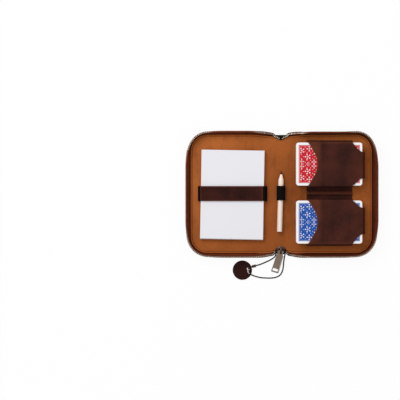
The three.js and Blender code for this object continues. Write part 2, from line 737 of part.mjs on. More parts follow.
// Pencil: a wooden barrel with its bore, and the lead through it
function pencil() {
  const radius = PENCIL_DIAMETER / 2;
  const leadRadius = LEAD_DIAMETER / 2;
  const bore = leadRadius + LEAD_BORE_EASE;
  const coneSlope = PENCIL_CONE_LENGTH / radius;
  const woodTip = bore + LEAD_BORE_EASE / 2;
  const barrel = [
    at(bore, 0),
    at(radius, 0),
    at(radius, PENCIL_LENGTH - PENCIL_CONE_LENGTH),
    at(woodTip, PENCIL_LENGTH - woodTip * coneSlope),
    at(bore, PENCIL_LENGTH - woodTip * coneSlope),
    at(bore, 0),
  ];
  const lead = [
    at(0, LEAD_BORE_EASE),
    at(leadRadius, LEAD_BORE_EASE),
    at(leadRadius, PENCIL_LENGTH - leadRadius * coneSlope),
    at(LEAD_TIP_RADIUS, PENCIL_LENGTH),
    at(0, PENCIL_LENGTH),
  ];
  const whole = new THREE.Group();
  whole.position.set(PENCIL_MIDDLE.x, PENCIL_MIDDLE.y, FLOOR_Z + SLIDE_EASE + radius);
  whole.rotation.z = -THREE.MathUtils.degToRad(PENCIL_YAW_DEG);
  const turned = (profile) => new THREE.LatheGeometry(profile, PENCIL_SIDES).translate(0, -PENCIL_LENGTH / 2, 0);
  whole.add(piece("pencil_barrel", turned(barrel), "wood"));
  whole.add(piece("pencil_lead", turned(lead), "graphite"));
  return whole;
}

// Elastic loop on the spine that holds the pencil
function pencilLoop() {
  const inner = PENCIL_DIAMETER / 2 + LOOP_EASE;
  const outer = inner + LOOP_ELASTIC;
  const middleZ = FLOOR_Z + SLIDE_EASE + PENCIL_DIAMETER / 2;
  const section = [
    at(LOOP_MIDDLE.x + outer, FLOOR_Z),
    ...arc(LOOP_MIDDLE.x, middleZ, outer, 0, 180, CORNER_STEPS),
    at(LOOP_MIDDLE.x - outer, FLOOR_Z),
    at(LOOP_MIDDLE.x - inner, FLOOR_Z),
    ...arc(LOOP_MIDDLE.x, middleZ, inner, 180, 0, CORNER_STEPS),
    at(LOOP_MIDDLE.x + inner, FLOOR_Z),
  ];
  return sweptAlongY(section, LOOP_MIDDLE.y - LOOP_WIDTH / 2, LOOP_MIDDLE.y + LOOP_WIDTH / 2);
}

// Folded tape where the two rows end at the top of the spine
function zipTopEnd() {
  const top = edgeHeight(0) + TOP_END_OUTREACH;
  const shoulder = top - TOP_END_SHOULDER;
  const outline = [
    at(-TAPE_END_HALF_WIDTH, top),
    at(-TAPE_END_HALF_WIDTH, shoulder),
    at(-TOP_END_INNER_HALF, top - TOP_END_DEPTH),
    at(TOP_END_INNER_HALF, top - TOP_END_DEPTH),
    at(TAPE_END_HALF_WIDTH, shoulder),
    at(TAPE_END_HALF_WIDTH, top),
  ];
  return slab(outline, FLOOR_Z, TAPE_END_Z);
}

// Tape that runs through the slider's channel at the bottom of the spine, with a foot on the lining at each side
function zipBottomEnd() {
  const footStart = SLIDER_TAIL_HALF + PIECE_GAP;
  const section = [
    at(-TAPE_END_HALF_WIDTH, FLOOR_Z),
    at(-footStart, FLOOR_Z),
    at(-footStart, TAPE_END_Z - TAPE_WEB),
    at(footStart, TAPE_END_Z - TAPE_WEB),
    at(footStart, FLOOR_Z),
    at(TAPE_END_HALF_WIDTH, FLOOR_Z),
    at(TAPE_END_HALF_WIDTH, TAPE_END_Z),
    at(-TAPE_END_HALF_WIDTH, TAPE_END_Z),
  ];
  const edge = -edgeHeight(0);
  return sweptAlongY(section, edge - BOTTOM_END_OUTREACH, edge + BOTTOM_END_INREACH);
}

// Slider: two plates with the zip's channel between them, a post at the nose and a bridge for the pull tab
const sliderBase = FLOOR_Z + PIECE_GAP;
const channelTop = sliderBase + SLIDER_PLATE + SLIDER_CHANNEL;
const bridgeBase = channelTop + SLIDER_TOP_PLATE;
const sliderTail = -edgeHeight(0) - SLIDER_OUTREACH;
const bridgeTail = sliderTail - BRIDGE_TAIL_OVERHANG;

function zipSlider() {
  const nose = sliderTail + SLIDER_LENGTH;
  const half = [
    at(SLIDER_NOSE_HALF, nose),
    at(SLIDER_SHOULDER_HALF, nose - SLIDER_SHOULDER),
    at(SLIDER_TAIL_HALF, sliderTail + SLIDER_NOSE_HALF),
    at(SLIDER_SHOULDER_HALF, sliderTail),
  ];
  const outline = [...half, ...half.map((point) => at(-point.x, point.y)).reverse()];
  const lower = slab(outline, sliderBase, sliderBase + SLIDER_PLATE);
  const upper = slab(outline, channelTop, bridgeBase);
  const postNose = nose - SLIDER_POST_INSET;
  const postOutline = [
    at(0, postNose + SLIDER_POST_HALF),
    at(-SLIDER_POST_HALF, postNose),
    at(0, postNose - SLIDER_POST_HALF),
    at(SLIDER_POST_HALF, postNose),
  ];
  const post = slab(postOutline, sliderBase + SLIDER_PLATE / 2, bridgeBase - SLIDER_TOP_PLATE / 2);

  const openingTail = bridgeTail + BRIDGE_METAL;
  const openingNose = openingTail + BRIDGE_OPENING;
  const openingTop = bridgeBase + BRIDGE_CLEAR_HEIGHT;
  const foot = bridgeBase - SLIDER_TOP_PLATE / 2;
  const bridgeSection = [
    at(bridgeTail, foot),
    at(bridgeTail, openingTop),
    at(openingTail, openingTop + BRIDGE_METAL),
    at(openingNose, openingTop + BRIDGE_METAL),
    at(openingNose + BRIDGE_METAL, openingTop),
    at(openingNose + BRIDGE_METAL, foot),
    at(openingNose, foot),
    at(openingNose, openingTop - BRIDGE_METAL / 2),
    at(openingNose - BRIDGE_METAL / 2, openingTop),
    at(openingTail + BRIDGE_METAL / 2, openingTop),
    at(openingTail, openingTop - BRIDGE_METAL / 2),
    at(openingTail, foot),
  ];
  const bridge = sweptAlongX(bridgeSection, -BRIDGE_HALF_WIDTH, BRIDGE_HALF_WIDTH);
  return join([lower, upper, post, bridge]);
}

// Pull tab: a flat bar with an opening round the bridge's tail, a crossbar in the bridge and a slot at its end
function pullTab() {
  const half = TAB_THICKNESS / 2;
  const headHalf = TAB_HEAD_WIDTH / 2;
  const wideHalf = TAB_WIDTH / 2;
  const right = [
    at(headHalf, half),
    at(headHalf, -TAB_HEAD_REACH + half),
    at(wideHalf, -TAB_HEAD_REACH - half),
    at(wideHalf, -TAB_LENGTH + TAB_CORNER_RADIUS),
    at(wideHalf - TAB_CORNER_RADIUS, -TAB_LENGTH),
  ];
  const left = right.map((point) => at(-point.x, point.y));
  const shape = new THREE.Shape([...left, ...right.reverse()]);
  const hole = (fromY, size) =>
    new THREE.Path([
      at(-size.x / 2, fromY),
      at(size.x / 2, fromY),
      at(size.x / 2, fromY - size.y),
      at(-size.x / 2, fromY - size.y),
    ]);
  shape.holes.push(hole(-half, TAB_HEAD_OPENING));
  shape.holes.push(hole(-TAB_LENGTH + TAB_SLOT_BAR + TAB_SLOT.y, TAB_SLOT));
  const geometry = extruded(shape, TAB_THICKNESS).translate(0, 0, -half);
  const tab = piece("pull_tab", geometry, "tab");
  tab.rotation.set(THREE.MathUtils.degToRad(TAB_SLOPE_DEG), 0, THREE.MathUtils.degToRad(TAB_YAW_DEG), "ZYX");
  const barY = bridgeTail + 2 * BRIDGE_METAL;
  tab.position.set(TAB_OFFSET_X, barY, bridgeBase + TAB_BAR_HEIGHT);
  return tab;
}

// Ball chain as a tube along its route
const chainCurve = new THREE.CatmullRomCurve3(
  CHAIN_ROUTE.map((point) => new THREE.Vector3(...point)),
  false,
  "centripetal",
);

function ballChain() {
  const section = new THREE.Shape(arc(0, 0, CHAIN_DIAMETER / 2, 0, 360 - 360 / CHAIN_SIDES, CHAIN_SIDES - 1));
  return new THREE.ExtrudeGeometry(section, { steps: CHAIN_STEPS, extrudePath: chainCurve, bevelEnabled: false });
}

// Sleeve that joins the chain's two ends
function chainConnector() {
  const inner = CHAIN_DIAMETER / 2 + CONNECTOR_EASE;
  const outer = inner + CONNECTOR_WALL;
  const half = CONNECTOR_LENGTH / 2;
  const profile = [at(inner, -half), at(outer, -half), at(outer, half), at(inner, half), at(inner, -half)];
  const sleeve = piece("chain_connector", new THREE.LatheGeometry(profile, PENCIL_SIDES / 2), "connector");
  const before = new THREE.Vector3(...CHAIN_ROUTE[CONNECTOR_FROM]);
  const after = new THREE.Vector3(...CHAIN_ROUTE[CONNECTOR_FROM + 1]);
  sleeve.position.copy(before).lerp(after, 0.5);
  sleeve.quaternion.setFromUnitVectors(new THREE.Vector3(0, 1, 0), after.clone().sub(before).normalize());
  return sleeve;
}

// Round leather tag, leaning on the strand of chain that passes under its right side
function leatherTag() {
  const shape = new THREE.Shape(arc(TAG_RADIUS, 0, TAG_RADIUS, 0, 360 - 360 / ROUND_STEPS, ROUND_STEPS - 1));
  const holeX = TAG_RADIUS + TAG_HOLE_OFFSET.x;
  const steps = ROUND_STEPS / 2;
  shape.holes.push(new THREE.Path(arc(holeX, TAG_HOLE_OFFSET.y, TAG_HOLE_RADIUS, 0, 360 - 360 / steps, steps - 1)));
  const tag = piece("leather_tag", extruded(shape, TAG_THICKNESS), "strapLeather");
  tag.position.set(TAG_CENTRE.x - TAG_RADIUS, TAG_CENTRE.y, 0);
  tag.rotation.y = -THREE.MathUtils.degToRad(TAG_TILT_DEG);
  return tag;
}

const cardCase = new THREE.Group();

for (const [name, [geometry, look]] of Object.entries(halfParts)) {
  cardCase.add(piece("back_" + name, geometry, look));
  cardCase.add(piece("front_" + name, mirrored(geometry), look));
}
cardCase.add(...spine());
cardCase.add(...deck("red", POCKET_MIDDLE_Y + DECK_HALF_GAP + CARD_WIDTH / 2));
cardCase.add(...deck("blue", POCKET_MIDDLE_Y - DECK_HALF_GAP - CARD_WIDTH / 2));
cardCase.add(piece("card_pocket", cardPocket(), "pocketLeather"));
cardCase.add(piece("strap_elastic", strapElastic(), "elastic"));
cardCase.add(piece("strap_leather", strapLeather(), "strapLeather"));
cardCase.add(notePad());
cardCase.add(piece("pencil_loop", pencilLoop(), "elastic"));
cardCase.add(pencil());
cardCase.add(piece("zip_top_end", zipTopEnd(), "tape"));
cardCase.add(piece("zip_bottom_end", zipBottomEnd(), "tape"));
cardCase.add(piece("zip_slider", zipSlider(), "slider"));
cardCase.add(pullTab());
cardCase.add(piece("ball_chain", ballChain(), "chain"));
cardCase.add(chainConnector());
cardCase.add(leatherTag());

export default cardCase;
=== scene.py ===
"""Looks of a zip-around playing card case, open flat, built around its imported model. Metres, +Z up."""

import logging
import math
from collections.abc import Callable, Iterable, Sequence
from dataclasses import dataclass
from enum import Enum

import bmesh
import bpy
from mathutils import Matrix, Vector


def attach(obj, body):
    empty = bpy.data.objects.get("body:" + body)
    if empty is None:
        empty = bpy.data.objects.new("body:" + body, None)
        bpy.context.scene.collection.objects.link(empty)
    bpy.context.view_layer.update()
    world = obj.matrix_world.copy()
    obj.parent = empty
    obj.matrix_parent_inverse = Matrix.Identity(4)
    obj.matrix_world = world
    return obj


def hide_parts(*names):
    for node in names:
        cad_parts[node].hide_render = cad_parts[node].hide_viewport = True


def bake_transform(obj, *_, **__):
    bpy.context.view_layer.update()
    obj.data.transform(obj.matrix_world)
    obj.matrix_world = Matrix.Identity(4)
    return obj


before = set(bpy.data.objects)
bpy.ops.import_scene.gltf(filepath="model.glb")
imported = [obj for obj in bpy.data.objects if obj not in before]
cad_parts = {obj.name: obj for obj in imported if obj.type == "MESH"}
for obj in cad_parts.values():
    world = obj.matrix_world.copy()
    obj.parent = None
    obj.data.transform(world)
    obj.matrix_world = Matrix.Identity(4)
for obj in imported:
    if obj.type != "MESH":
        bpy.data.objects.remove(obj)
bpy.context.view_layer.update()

log = logging.getLogger("card_case")
Colour = tuple[int, int, int]
Pair = tuple[float, float]
Place = Callable[[float, float], Vector]
Line = Sequence[tuple[Vector, Vector]]
UP, DOWN = Vector((0, 0, 1)), Vector((0, 0, -1))
SAME_PLACE = 1e-6
UPRIGHT = 0.9
QUARTER = math.pi / 2


def tone(colour: Colour) -> tuple[float, float, float, float]:
    """A colour as a screen shows it, 0 to 255 each, as Blender's linear colour with full alpha."""
    parts = [c / 255 for c in colour]
    linear = [c / 12.92 if c <= 0.04045 else ((c + 0.055) / 1.055) ** 2.4 for c in parts]
    return (*linear, 1.0)


def smoothstep(value: float, low: float, high: float) -> float:
    """The smooth step from 0 at low to 1 at high."""
    share = min(max((value - low) / (high - low), 0.0), 1.0)
    return share * share * (3 - 2 * share)


def fade(value: float, low: float, high: float) -> float:
    """The smooth step from 1 at low to 0 at high."""
    return 1 - smoothstep(value, low, high)


def tent(value: float, middle: float, half: float) -> float:
    """1 at the middle, falling straight to 0 on both sides."""
    return max(1 - abs(value - middle) / half, 0.0)


def lerp(low: float, high: float, share: float) -> float:
    """The number at a share of the way from low to high."""
    return low + (high - low) * share


class Kind(Enum):
    """What an edit-mode selection is made of."""

    POINT = "VERT"
    EDGE = "EDGE"
    FACE = "FACE"


class Side(Enum):
    """The half of the case, as the sign of its X."""

    BACK = 1
    FRONT = -1

    @property
    def word(self) -> str:
        """The start of the half's CAD node names."""
        return "back" if self is Side.BACK else "front"

    @property
    def body(self) -> str:
        """The CAD body of the half."""
        return self.word + "_half"


class Wire:
    """A shader socket that takes part in Python's arithmetic."""

    def __init__(self, recipe: "Recipe", socket: bpy.types.NodeSocket) -> None:
        """Wraps one output socket of a recipe's node."""
        self.recipe = recipe
        self.socket = socket

    def math(self, operation: str, *others: "Wire | float") -> "Wire":
        """This value and others put through one Math node."""
        return self.recipe.math(operation, self, *others)

    def __add__(self, other: "Wire | float") -> "Wire":
        """Sum."""
        return self.math("ADD", other)

    def __sub__(self, other: "Wire | float") -> "Wire":
        """Difference."""
        return self.math("SUBTRACT", other)

    def __rsub__(self, other: float) -> "Wire":
        """Difference from a number."""
        return self.recipe.math("SUBTRACT", other, self)

    def __mul__(self, other: "Wire | float") -> "Wire":
        """Product."""
        return self.math("MULTIPLY", other)

    def __truediv__(self, other: "Wire | float") -> "Wire":
        """Quotient."""
        return self.math("DIVIDE", other)

    def __abs__(self) -> "Wire":
        """Size without its sign."""
        return self.math("ABSOLUTE")

    __radd__ = __add__
    __rmul__ = __mul__

    def at_most_one(self) -> "Wire":
        """The value, cut off at 1."""
        return self.math("MINIMUM", 1.0)

    def step(self, low: float, high: float) -> "Wire":
        """Smooth step from 0 at low to 1 at high, or down where low is the higher."""
        made = self.recipe.node(
            "ShaderNodeMapRange",
            {"interpolation_type": "SMOOTHSTEP"},
            {"Value": self, "From Min": low, "From Max": high},
        )
        return Wire(self.recipe, made.outputs[0])

    def wave(self, length: float) -> "Wire":
        """A wave between 0 and 1 that repeats after a length."""
        return (self * (2 * math.pi / length)).math("SINE") * 0.5 + 0.5


class Recipe:
    """One material: its node tree, ending in a Principled shader."""

    def __init__(self, name: str) -> None:
        """Starts an empty material."""
        self.material = bpy.data.materials.new(name)
        self.material.use_nodes = True
        self.tree = self.material.node_tree
        self.tree.nodes.clear()
        where = self.node("ShaderNodeTexCoord")
        self.point = where.outputs["Object"]
        self.flat = where.outputs["UV"]

    def node(self, kind: str, settings: dict | None = None, sockets: dict | None = None) -> bpy.types.Node:
        """Any node of the tree.

        Args:
            kind: the node's type.
            settings: its own settings.
            sockets: value or link of each input, by name or number.

        Returns:
            The node.
        """
        made = self.tree.nodes.new(kind)
        for name, value in (settings or {}).items():
            setattr(made, name, value)
        for key, value in (sockets or {}).items():
            source = value.socket if isinstance(value, Wire) else value
            if isinstance(source, bpy.types.NodeSocket):
                self.tree.links.new(source, made.inputs[key])
            else:
                made.inputs[key].default_value = source
        return made

    def math(self, operation: str, *values: "Wire | float") -> Wire:
        """One Math node on values and wires."""
        made = self.node("ShaderNodeMath", {"operation": operation}, dict(enumerate(values)))
        return Wire(self, made.outputs[0])

    def axes(self, socket: bpy.types.NodeSocket | None = None) -> tuple[Wire, Wire, Wire]:
        """The three numbers of a vector, of the object's own place unless one is given."""
        made = self.node("ShaderNodeSeparateXYZ", None, {0: socket or self.point})
        return tuple(Wire(self, out) for out in made.outputs)

    def noise(self, size: float, detail: float = 3.0, stretch: Sequence[float] = ()) -> Wire:
        """Cloudy noise from 0 to 1.

        Args:
            size: how far across its patches are.
            detail: how many finer layers it has.
            stretch: factors on the three axes, which draw the patches out where they are under 1.

        Returns:
            The noise.
        """
        place = self.point
        if stretch:
            place = self.node("ShaderNodeVectorMath", {"operation": "MULTIPLY"}, {0: place, 1: stretch}).outputs[0]
        sockets = {"Vector": place, "Scale": 1 / size, "Detail": detail}
        return Wire(self, self.node("ShaderNodeTexNoise", None, sockets).outputs[0])

    def pores(self, size: float) -> Wire:
        """Rounded cells about size across."""
        sockets = {"Vector": self.point, "Scale": 1 / size}
        cells = self.node("ShaderNodeTexVoronoi", {"feature": "SMOOTH_F1"}, sockets)
        return Wire(self, cells.outputs["Distance"])

    def attribute(self, name: str) -> Wire:
        """A number kept on the mesh's points."""
        return Wire(self, self.node("ShaderNodeAttribute", {"attribute_name": name}).outputs["Fac"])

    def mix(self, first: object, second: object, share: Wire | float) -> bpy.types.NodeSocket:
        """Two colours, each a screen colour or a socket, mixed by a share."""
        first, second = (tone(c) if isinstance(c, tuple) else c for c in (first, second))
        made = self.node("ShaderNodeMix", {"data_type": "RGBA"}, {0: share, 6: first, 7: second})
        return made.outputs[2]

    def finish(
        self,
        colour: bpy.types.NodeSocket,
        rough: Wire | float,
        height: Wire,
        depth: float,
        specular: float = 0.5,
        metallic: float = 0.0,
    ) -> bpy.types.Material:
        """Ends the material in its shader.

        Args:
            colour: base colour.
            rough: roughness.
            height: surface relief.
            depth: how deep the relief is, in metres.
            specular: strength of the plain reflection.
            metallic: 1 for bare metal.

        Returns:
            The material.
        """
        normal = self.node("ShaderNodeBump", None, {"Height": height, "Distance": depth, "Strength": 1.0})
        shader = self.node(
            "ShaderNodeBsdfPrincipled",
            None,
            {
                "Base Color": colour,
                "Roughness": rough,
                "Normal": normal.outputs[0],
                "Specular IOR Level": specular,
                "Metallic": metallic,
            },
        )
        self.node("ShaderNodeOutputMaterial", None, {"Surface": shader.outputs[0]})
        return self.material


class Piece:
    """One piece on the bench, shaped with Blender's own operators."""

    def __init__(self, name: str) -> None:
        """Takes the primitive that was just added."""
        bpy.ops.object.transform_apply(location=True, rotation=True, scale=True)
        self.obj = bpy.context.object
        self.obj.name = self.obj.data.name = name

    @staticmethod
    def clear_selection() -> None:
        """Leaves edit mode with nothing selected."""
        if bpy.context.object and bpy.context.object.mode == "EDIT":
            bpy.ops.object.mode_set(mode="OBJECT")
        bpy.ops.object.select_all(action="DESELECT")

    @classmethod
    def box(cls, name: str, low: Sequence[float], high: Sequence[float]) -> "Piece":
        """A block between two corners."""
        cls.clear_selection()
        middle = [(a + b) / 2 for a, b in zip(low, high)]
        size = [b - a for a, b in zip(low, high)]
        bpy.ops.mesh.primitive_cube_add(size=1, location=middle, scale=size)
        return cls(name)

    @classmethod
    def rod(cls, name: str, radius: float, low: float, high: float, sides: int) -> "Piece":
        """A cylinder about Z from low to high."""
        cls.clear_selection()
        middle = (0, 0, (low + high) / 2)
        bpy.ops.mesh.primitive_cone_add(
            vertices=sides, radius1=radius, radius2=radius, depth=high - low, location=middle
        )
        return cls(name)

    @classmethod
    def ball(cls, name: str, size: Sequence[float], sides: int, rings: int) -> "Piece":
        """An ellipsoid of three half sizes about the origin."""
        cls.clear_selection()
        bpy.ops.mesh.primitive_uv_sphere_add(segments=sides, ring_count=rings, radius=1, scale=size)
        return cls(name)

    @classmethod
    def grid(cls, name: str, columns: int, rows: int, place: Place, span: Sequence[float] = (1, 1)) -> "Piece":
        """A sheet: a grid primitive laid along a surface.

        Args:
            name: the piece.
            columns, rows: faces along its first and second direction.
            place: the point at shares u and v of the two directions.
            span: length and width of the sheet, for its UV map in metres.

        Returns:
            The piece.
        """
        cls.clear_selection()
        bpy.ops.mesh.primitive_grid_add(x_subdivisions=columns, y_subdivisions=rows, size=1)
        piece = cls(name)
        mesh = piece.obj.data
        for vertex in mesh.vertices:
            vertex.co = place(vertex.co.x + 0.5, vertex.co.y + 0.5)
        for corner in mesh.uv_layers.active.data:
            corner.uv = (corner.uv[0] * span[0], corner.uv[1] * span[1])
        return piece

    def pick(self, kind: Kind, test: Callable[[bmesh.types.BMVert], bool]) -> "Piece":
        """Selects in edit mode the points, edges or faces that a test keeps."""
        if bpy.context.object is not self.obj or self.obj.mode != "EDIT":
            self.done()
            bpy.ops.object.mode_set(mode="EDIT")
        bpy.ops.mesh.select_mode(type=kind.value)
        bpy.ops.mesh.select_all(action="DESELECT")
        mesh = bmesh.from_edit_mesh(self.obj.data)
        elements = {Kind.POINT: mesh.verts, Kind.EDGE: mesh.edges, Kind.FACE: mesh.faces}[kind]
        for element in elements:
            if test(element):
                element.select_set(True)
        mesh.select_flush_mode()
        bmesh.update_edit_mesh(self.obj.data)
        return self

    def every(self) -> "Piece":
        """Selects the whole mesh in edit mode."""
        return self.pick(Kind.POINT, lambda point: True)

    def facing_up(self) -> "Piece":
        """Selects the faces that look up."""
        return self.pick(Kind.FACE, lambda face: face.normal.z > UPRIGHT)

    def edges_along(self, axis: int, longer: float) -> "Piece":
        """Selects the edges that run further along an axis than a length."""
        return self.pick(Kind.EDGE, lambda edge: abs(edge.verts[0].co[axis] - edge.verts[1].co[axis]) > longer)

    def extrude(self, x: float, y: float, z: float) -> "Piece":
        """Extrudes the selection along a vector."""
        bpy.ops.mesh.extrude_region_move(TRANSFORM_OT_translate={"value": (x, y, z)})
        return self

    def inset(self, width: float, depth: float = 0.0) -> "Piece":
        """Insets the selected faces, and moves them along their normals by depth."""
        bpy.ops.mesh.inset(thickness=width, depth=depth)
        return self

    def raise_by(self, height: float) -> "Piece":
        """Moves the selection up."""
        bpy.ops.transform.translate(value=(0, 0, height))
        return self

    def narrow(self, share: float) -> "Piece":
        """Shrinks the selection across Z to a share of its size."""
        bpy.ops.transform.resize(value=(share, share, 1))
        return self

    def bevel(self, width: float, segments: int, kind: Kind = Kind.EDGE) -> "Piece":
        """Bevels the selected edges or corners."""
        affect = "VERTICES" if kind is Kind.POINT else "EDGES"
        bpy.ops.mesh.bevel(offset=width, segments=segments, profile=0.5, affect=affect, clamp_overlap=False)
        return self

    def cut_across(self, places: Iterable[float], axis: int = 0) -> "Piece":
        """Bisects the whole mesh at places along an axis."""
        normal = [float(i == axis) for i in range(3)]
        for place in places:
            self.every()
            bpy.ops.mesh.bisect(plane_co=[place * n for n in normal], plane_no=normal)
        return self

    def merge(self, gap: float = SAME_PLACE) -> "Piece":
        """Merges points closer than a gap."""
        self.every()
        bpy.ops.mesh.remove_doubles(threshold=gap)
        return self

    def done(self) -> "Piece":
        """Leaves edit mode."""
        self.clear_selection()
        bpy.context.view_layer.objects.active = self.obj
        self.obj.select_set(True)
        return self

    def modify(self, kind: str, **settings: object) -> "Piece":
        """Adds one modifier and applies it."""
        self.done()
        modifier = self.obj.modifiers.new(kind.title(), kind)
        for name, value in settings.items():
            setattr(modifier, name, value)
        bpy.ops.object.modifier_apply(modifier=modifier.name)
        return self

    def thicken(self, thickness: float, offset: float = -1.0) -> "Piece":
        """Gives a sheet its thickness: behind its faces at -1, to both sides at 0."""
        return self.modify("SOLIDIFY", thickness=thickness, offset=offset, use_even_offset=True)

    def ease(self, width: float, segments: int = 2, angle: float = 50) -> "Piece":
        """Rounds the edges that are sharper than an angle."""
        limit = math.radians(angle)
        return self.modify("BEVEL", width=width, segments=segments, limit_method="ANGLE", angle_limit=limit)

    def outwards(self) -> "Piece":
        """Merges doubles and turns all faces outwards."""
        self.merge()
        bpy.ops.mesh.normals_make_consistent(inside=False)
        return self.done()

    def move(self, matrix: Matrix) -> "Piece":
        """Moves the mesh itself."""
        self.done()
        self.obj.data.transform(matrix)
        return self

    def mirror(self, side: Side) -> "Piece":
        """Turns a piece made for the +X half into the other half's, faces still outwards."""
        if side is Side.FRONT:
            self.move(Matrix.Scale(-1, 4, (1, 0, 0))).every()
            bpy.ops.mesh.flip_normals()
        return self.done()

    def copies(self, name: str, matrices: Sequence[Matrix]) -> "Piece":
        """Copies of this piece, each with its own mesh, joined under a new name. The pattern itself is removed."""
        self.done()
        made = []
        for matrix in matrices:
            twin = self.obj.copy()
            twin.data = self.obj.data.copy()
            twin.data.transform(matrix)
            bpy.context.scene.collection.objects.link(twin)
            made.append(twin)
        bpy.data.objects.remove(self.obj)
        return Piece.joined(name, made)

    @staticmethod
    def joined(name: str, objects: Sequence[bpy.types.Object]) -> "Piece":
        """Several objects as one piece."""
        bpy.ops.object.select_all(action="DESELECT")
        for obj in objects:
            obj.select_set(True)
        bpy.context.view_layer.objects.active = objects[0]
        bpy.ops.object.join()
        return Piece(name)

    def attribute(self, name: str, value: Callable[[Vector], float]) -> "Piece":
        """Keeps a number on each point, worked out from its place."""
        self.done()
        made = self.obj.data.attributes.new(name, "FLOAT", "POINT")
        for item, vertex in zip(made.data, self.obj.data.vertices):
            item.value = value(vertex.co)
        return self

    def dress(self, material: bpy.types.Material, slot: str, angle: float = 40) -> "Piece":
        """Gives the piece its material, and shades it smooth up to an angle."""
        self.done()
        bpy.ops.object.shade_smooth_by_angle(angle=math.radians(angle))
        self.modify("WEIGHTED_NORMAL", keep_sharp=True)
        self.obj.data.materials.clear()
        self.obj.data.materials.append(material)
        return self

    def ride(self, body: str, *nodes: str) -> bpy.types.Object:
        """Sets the piece on a body, standing for some CAD nodes."""
        self.done()
        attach(self.obj, body)
        return self.stand_for(nodes, "rides " + body)

    def bend_with(self, side: Side, *nodes: str) -> bpy.types.Object:
        """Leaves the piece where it was made, its mesh in world space, standing for some CAD nodes."""
        self.done()
        near, far = 0.0037 * side.value, 0.0163 * side.value
        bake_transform(self.obj, "spine", side.body, start=(near, 0, 0), end=(far, 0, 0))
        return self.stand_for(nodes, "bends at the spine")

    def stand_for(self, nodes: Sequence[str], way: str) -> bpy.types.Object:
        """Puts the piece in the place of some CAD nodes and logs it."""
        if nodes:
            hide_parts(*nodes)
        log.info("%s %s, %d faces", self.obj.name, way, len(self.obj.data.polygons))
        return self.obj


class Route:
    """A smooth line through points, with even steps along its length."""

    PROBES = 2000

    def __init__(self, points: Sequence[Sequence[float]], steps: int = 40) -> None:
        """Lays a centripetal curve through the points."""
        given = [Vector(p) for p in points]
        ends = [2 * given[0] - given[1], *given, 2 * given[-1] - given[-2]]
        self.points = [given[0]]
        for i in range(len(given) - 1):
            for k in range(1, steps + 1):
                self.points.append(self.between(ends[i : i + 4], k / steps))
        self.reach = [0.0]
        for a, b in zip(self.points, self.points[1:]):
            self.reach.append(self.reach[-1] + (b - a).length)
        self.length = self.reach[-1]

    @staticmethod
    def between(four: Sequence[Vector], share: float) -> Vector:
        """The curve's point between the second and third of four points."""
        gaps = [max((b - a).length ** 0.5, 1e-4) for a, b in zip(four, four[1:])]
        first = (four[1] - four[0]) / gaps[0] - (four[2] - four[0]) / (gaps[0] + gaps[1])
        last = (four[2] - four[1]) / gaps[1] - (four[3] - four[1]) / (gaps[1] + gaps[2])
        start = (first + (four[2] - four[1]) / gaps[1]) * gaps[1]
        end = (last + (four[3] - four[2]) / gaps[2]) * gaps[1]
        t, s = share, share * share
        bend = (2 * four[1] - 2 * four[2] + start + end) * (s * t)
        bend += (-3 * four[1] + 3 * four[2] - 2 * start - end) * s
        return bend + start * t + four[1]

    def at(self, distance: float) -> Vector:
        """The point at a distance along the line."""
        distance = min(max(distance, 0.0), self.length)
        high = next(i for i, r in enumerate(self.reach) if r >= distance)
        low = max(high - 1, 0)
        gap = self.reach[high] - self.reach[low]
        return self.points[low].lerp(self.points[high], (distance - self.reach[low]) / gap if gap else 0.0)

    def along(self, distance: float) -> Vector:
        """The line's direction at a distance."""
        step = self.length / self.PROBES
        return (self.at(distance + step) - self.at(distance - step)).normalized()

    def band(
        self, name: str, faces: tuple[int, int], across: Callable[[Vector, float], Vector], width: float
    ) -> Piece:
        """A sheet that follows the line.

        Args:
            name: the piece.
            faces: how many along and across the line.
            across: the sheet's point beside a point of the line, for -1 at one edge to 1 at the other.
            width: the sheet's width, for its UV map.

        Returns:
            The sheet.
        """

        def place(u: float, v: float) -> Vector:
            """A point of the sheet."""
            return across(self.at(u * self.length), (v - 0.5) * 2)

        return Piece.grid(name, *faces, place, (self.length, width))


def frame_at(origin: Vector, along: Vector, up: Vector) -> Matrix:
    """A place whose X runs along one direction and whose Z is as near as can be to another."""
    x = along.normalized()
    y = up.cross(x).normalized()
    z = x.cross(y)
    return Matrix.Translation(origin) @ Matrix((x, y, z)).transposed().to_4x4()


def spread(line: Line, count: int) -> list[tuple[Vector, Vector]]:
    """Evenly spaced pairs of point and direction along a line of such pairs."""
    reach = [0.0]
    for (a, _), (b, _) in zip(line, line[1:]):
        reach.append(reach[-1] + (b - a).length)
    even, segment = [], 1
    for i in range(count + 1):
        along = reach[-1] * i / count
        while segment < len(line) - 1 and reach[segment] < along:
            segment += 1
        share = (along - reach[segment - 1]) / (reach[segment] - reach[segment - 1])
        (a, near), (b, far) = line[segment - 1], line[segment]
        even.append((a.lerp(b, share), near.lerp(far, share).normalized()))
    return even


def places_along(line: Line, pitch: float) -> list[Matrix]:
    """Places at about a pitch along a line of points and directions, X along it and Z in the direction."""
    length = sum((b - a).length for (a, _), (b, _) in zip(line, line[1:]))
    even = spread(line, 2 * max(round(length / pitch), 1))
    threes = zip(even[::2], even[1::2], even[2::2])
    return [frame_at(here, after - before, up) for (before, _), (here, up), (after, _) in threes]


def straight(start: Sequence[float], end: Sequence[float], up: Vector) -> Line:
    """A straight line between two points, both with the same direction."""
    return [(Vector(start), up), (Vector(end), up)]


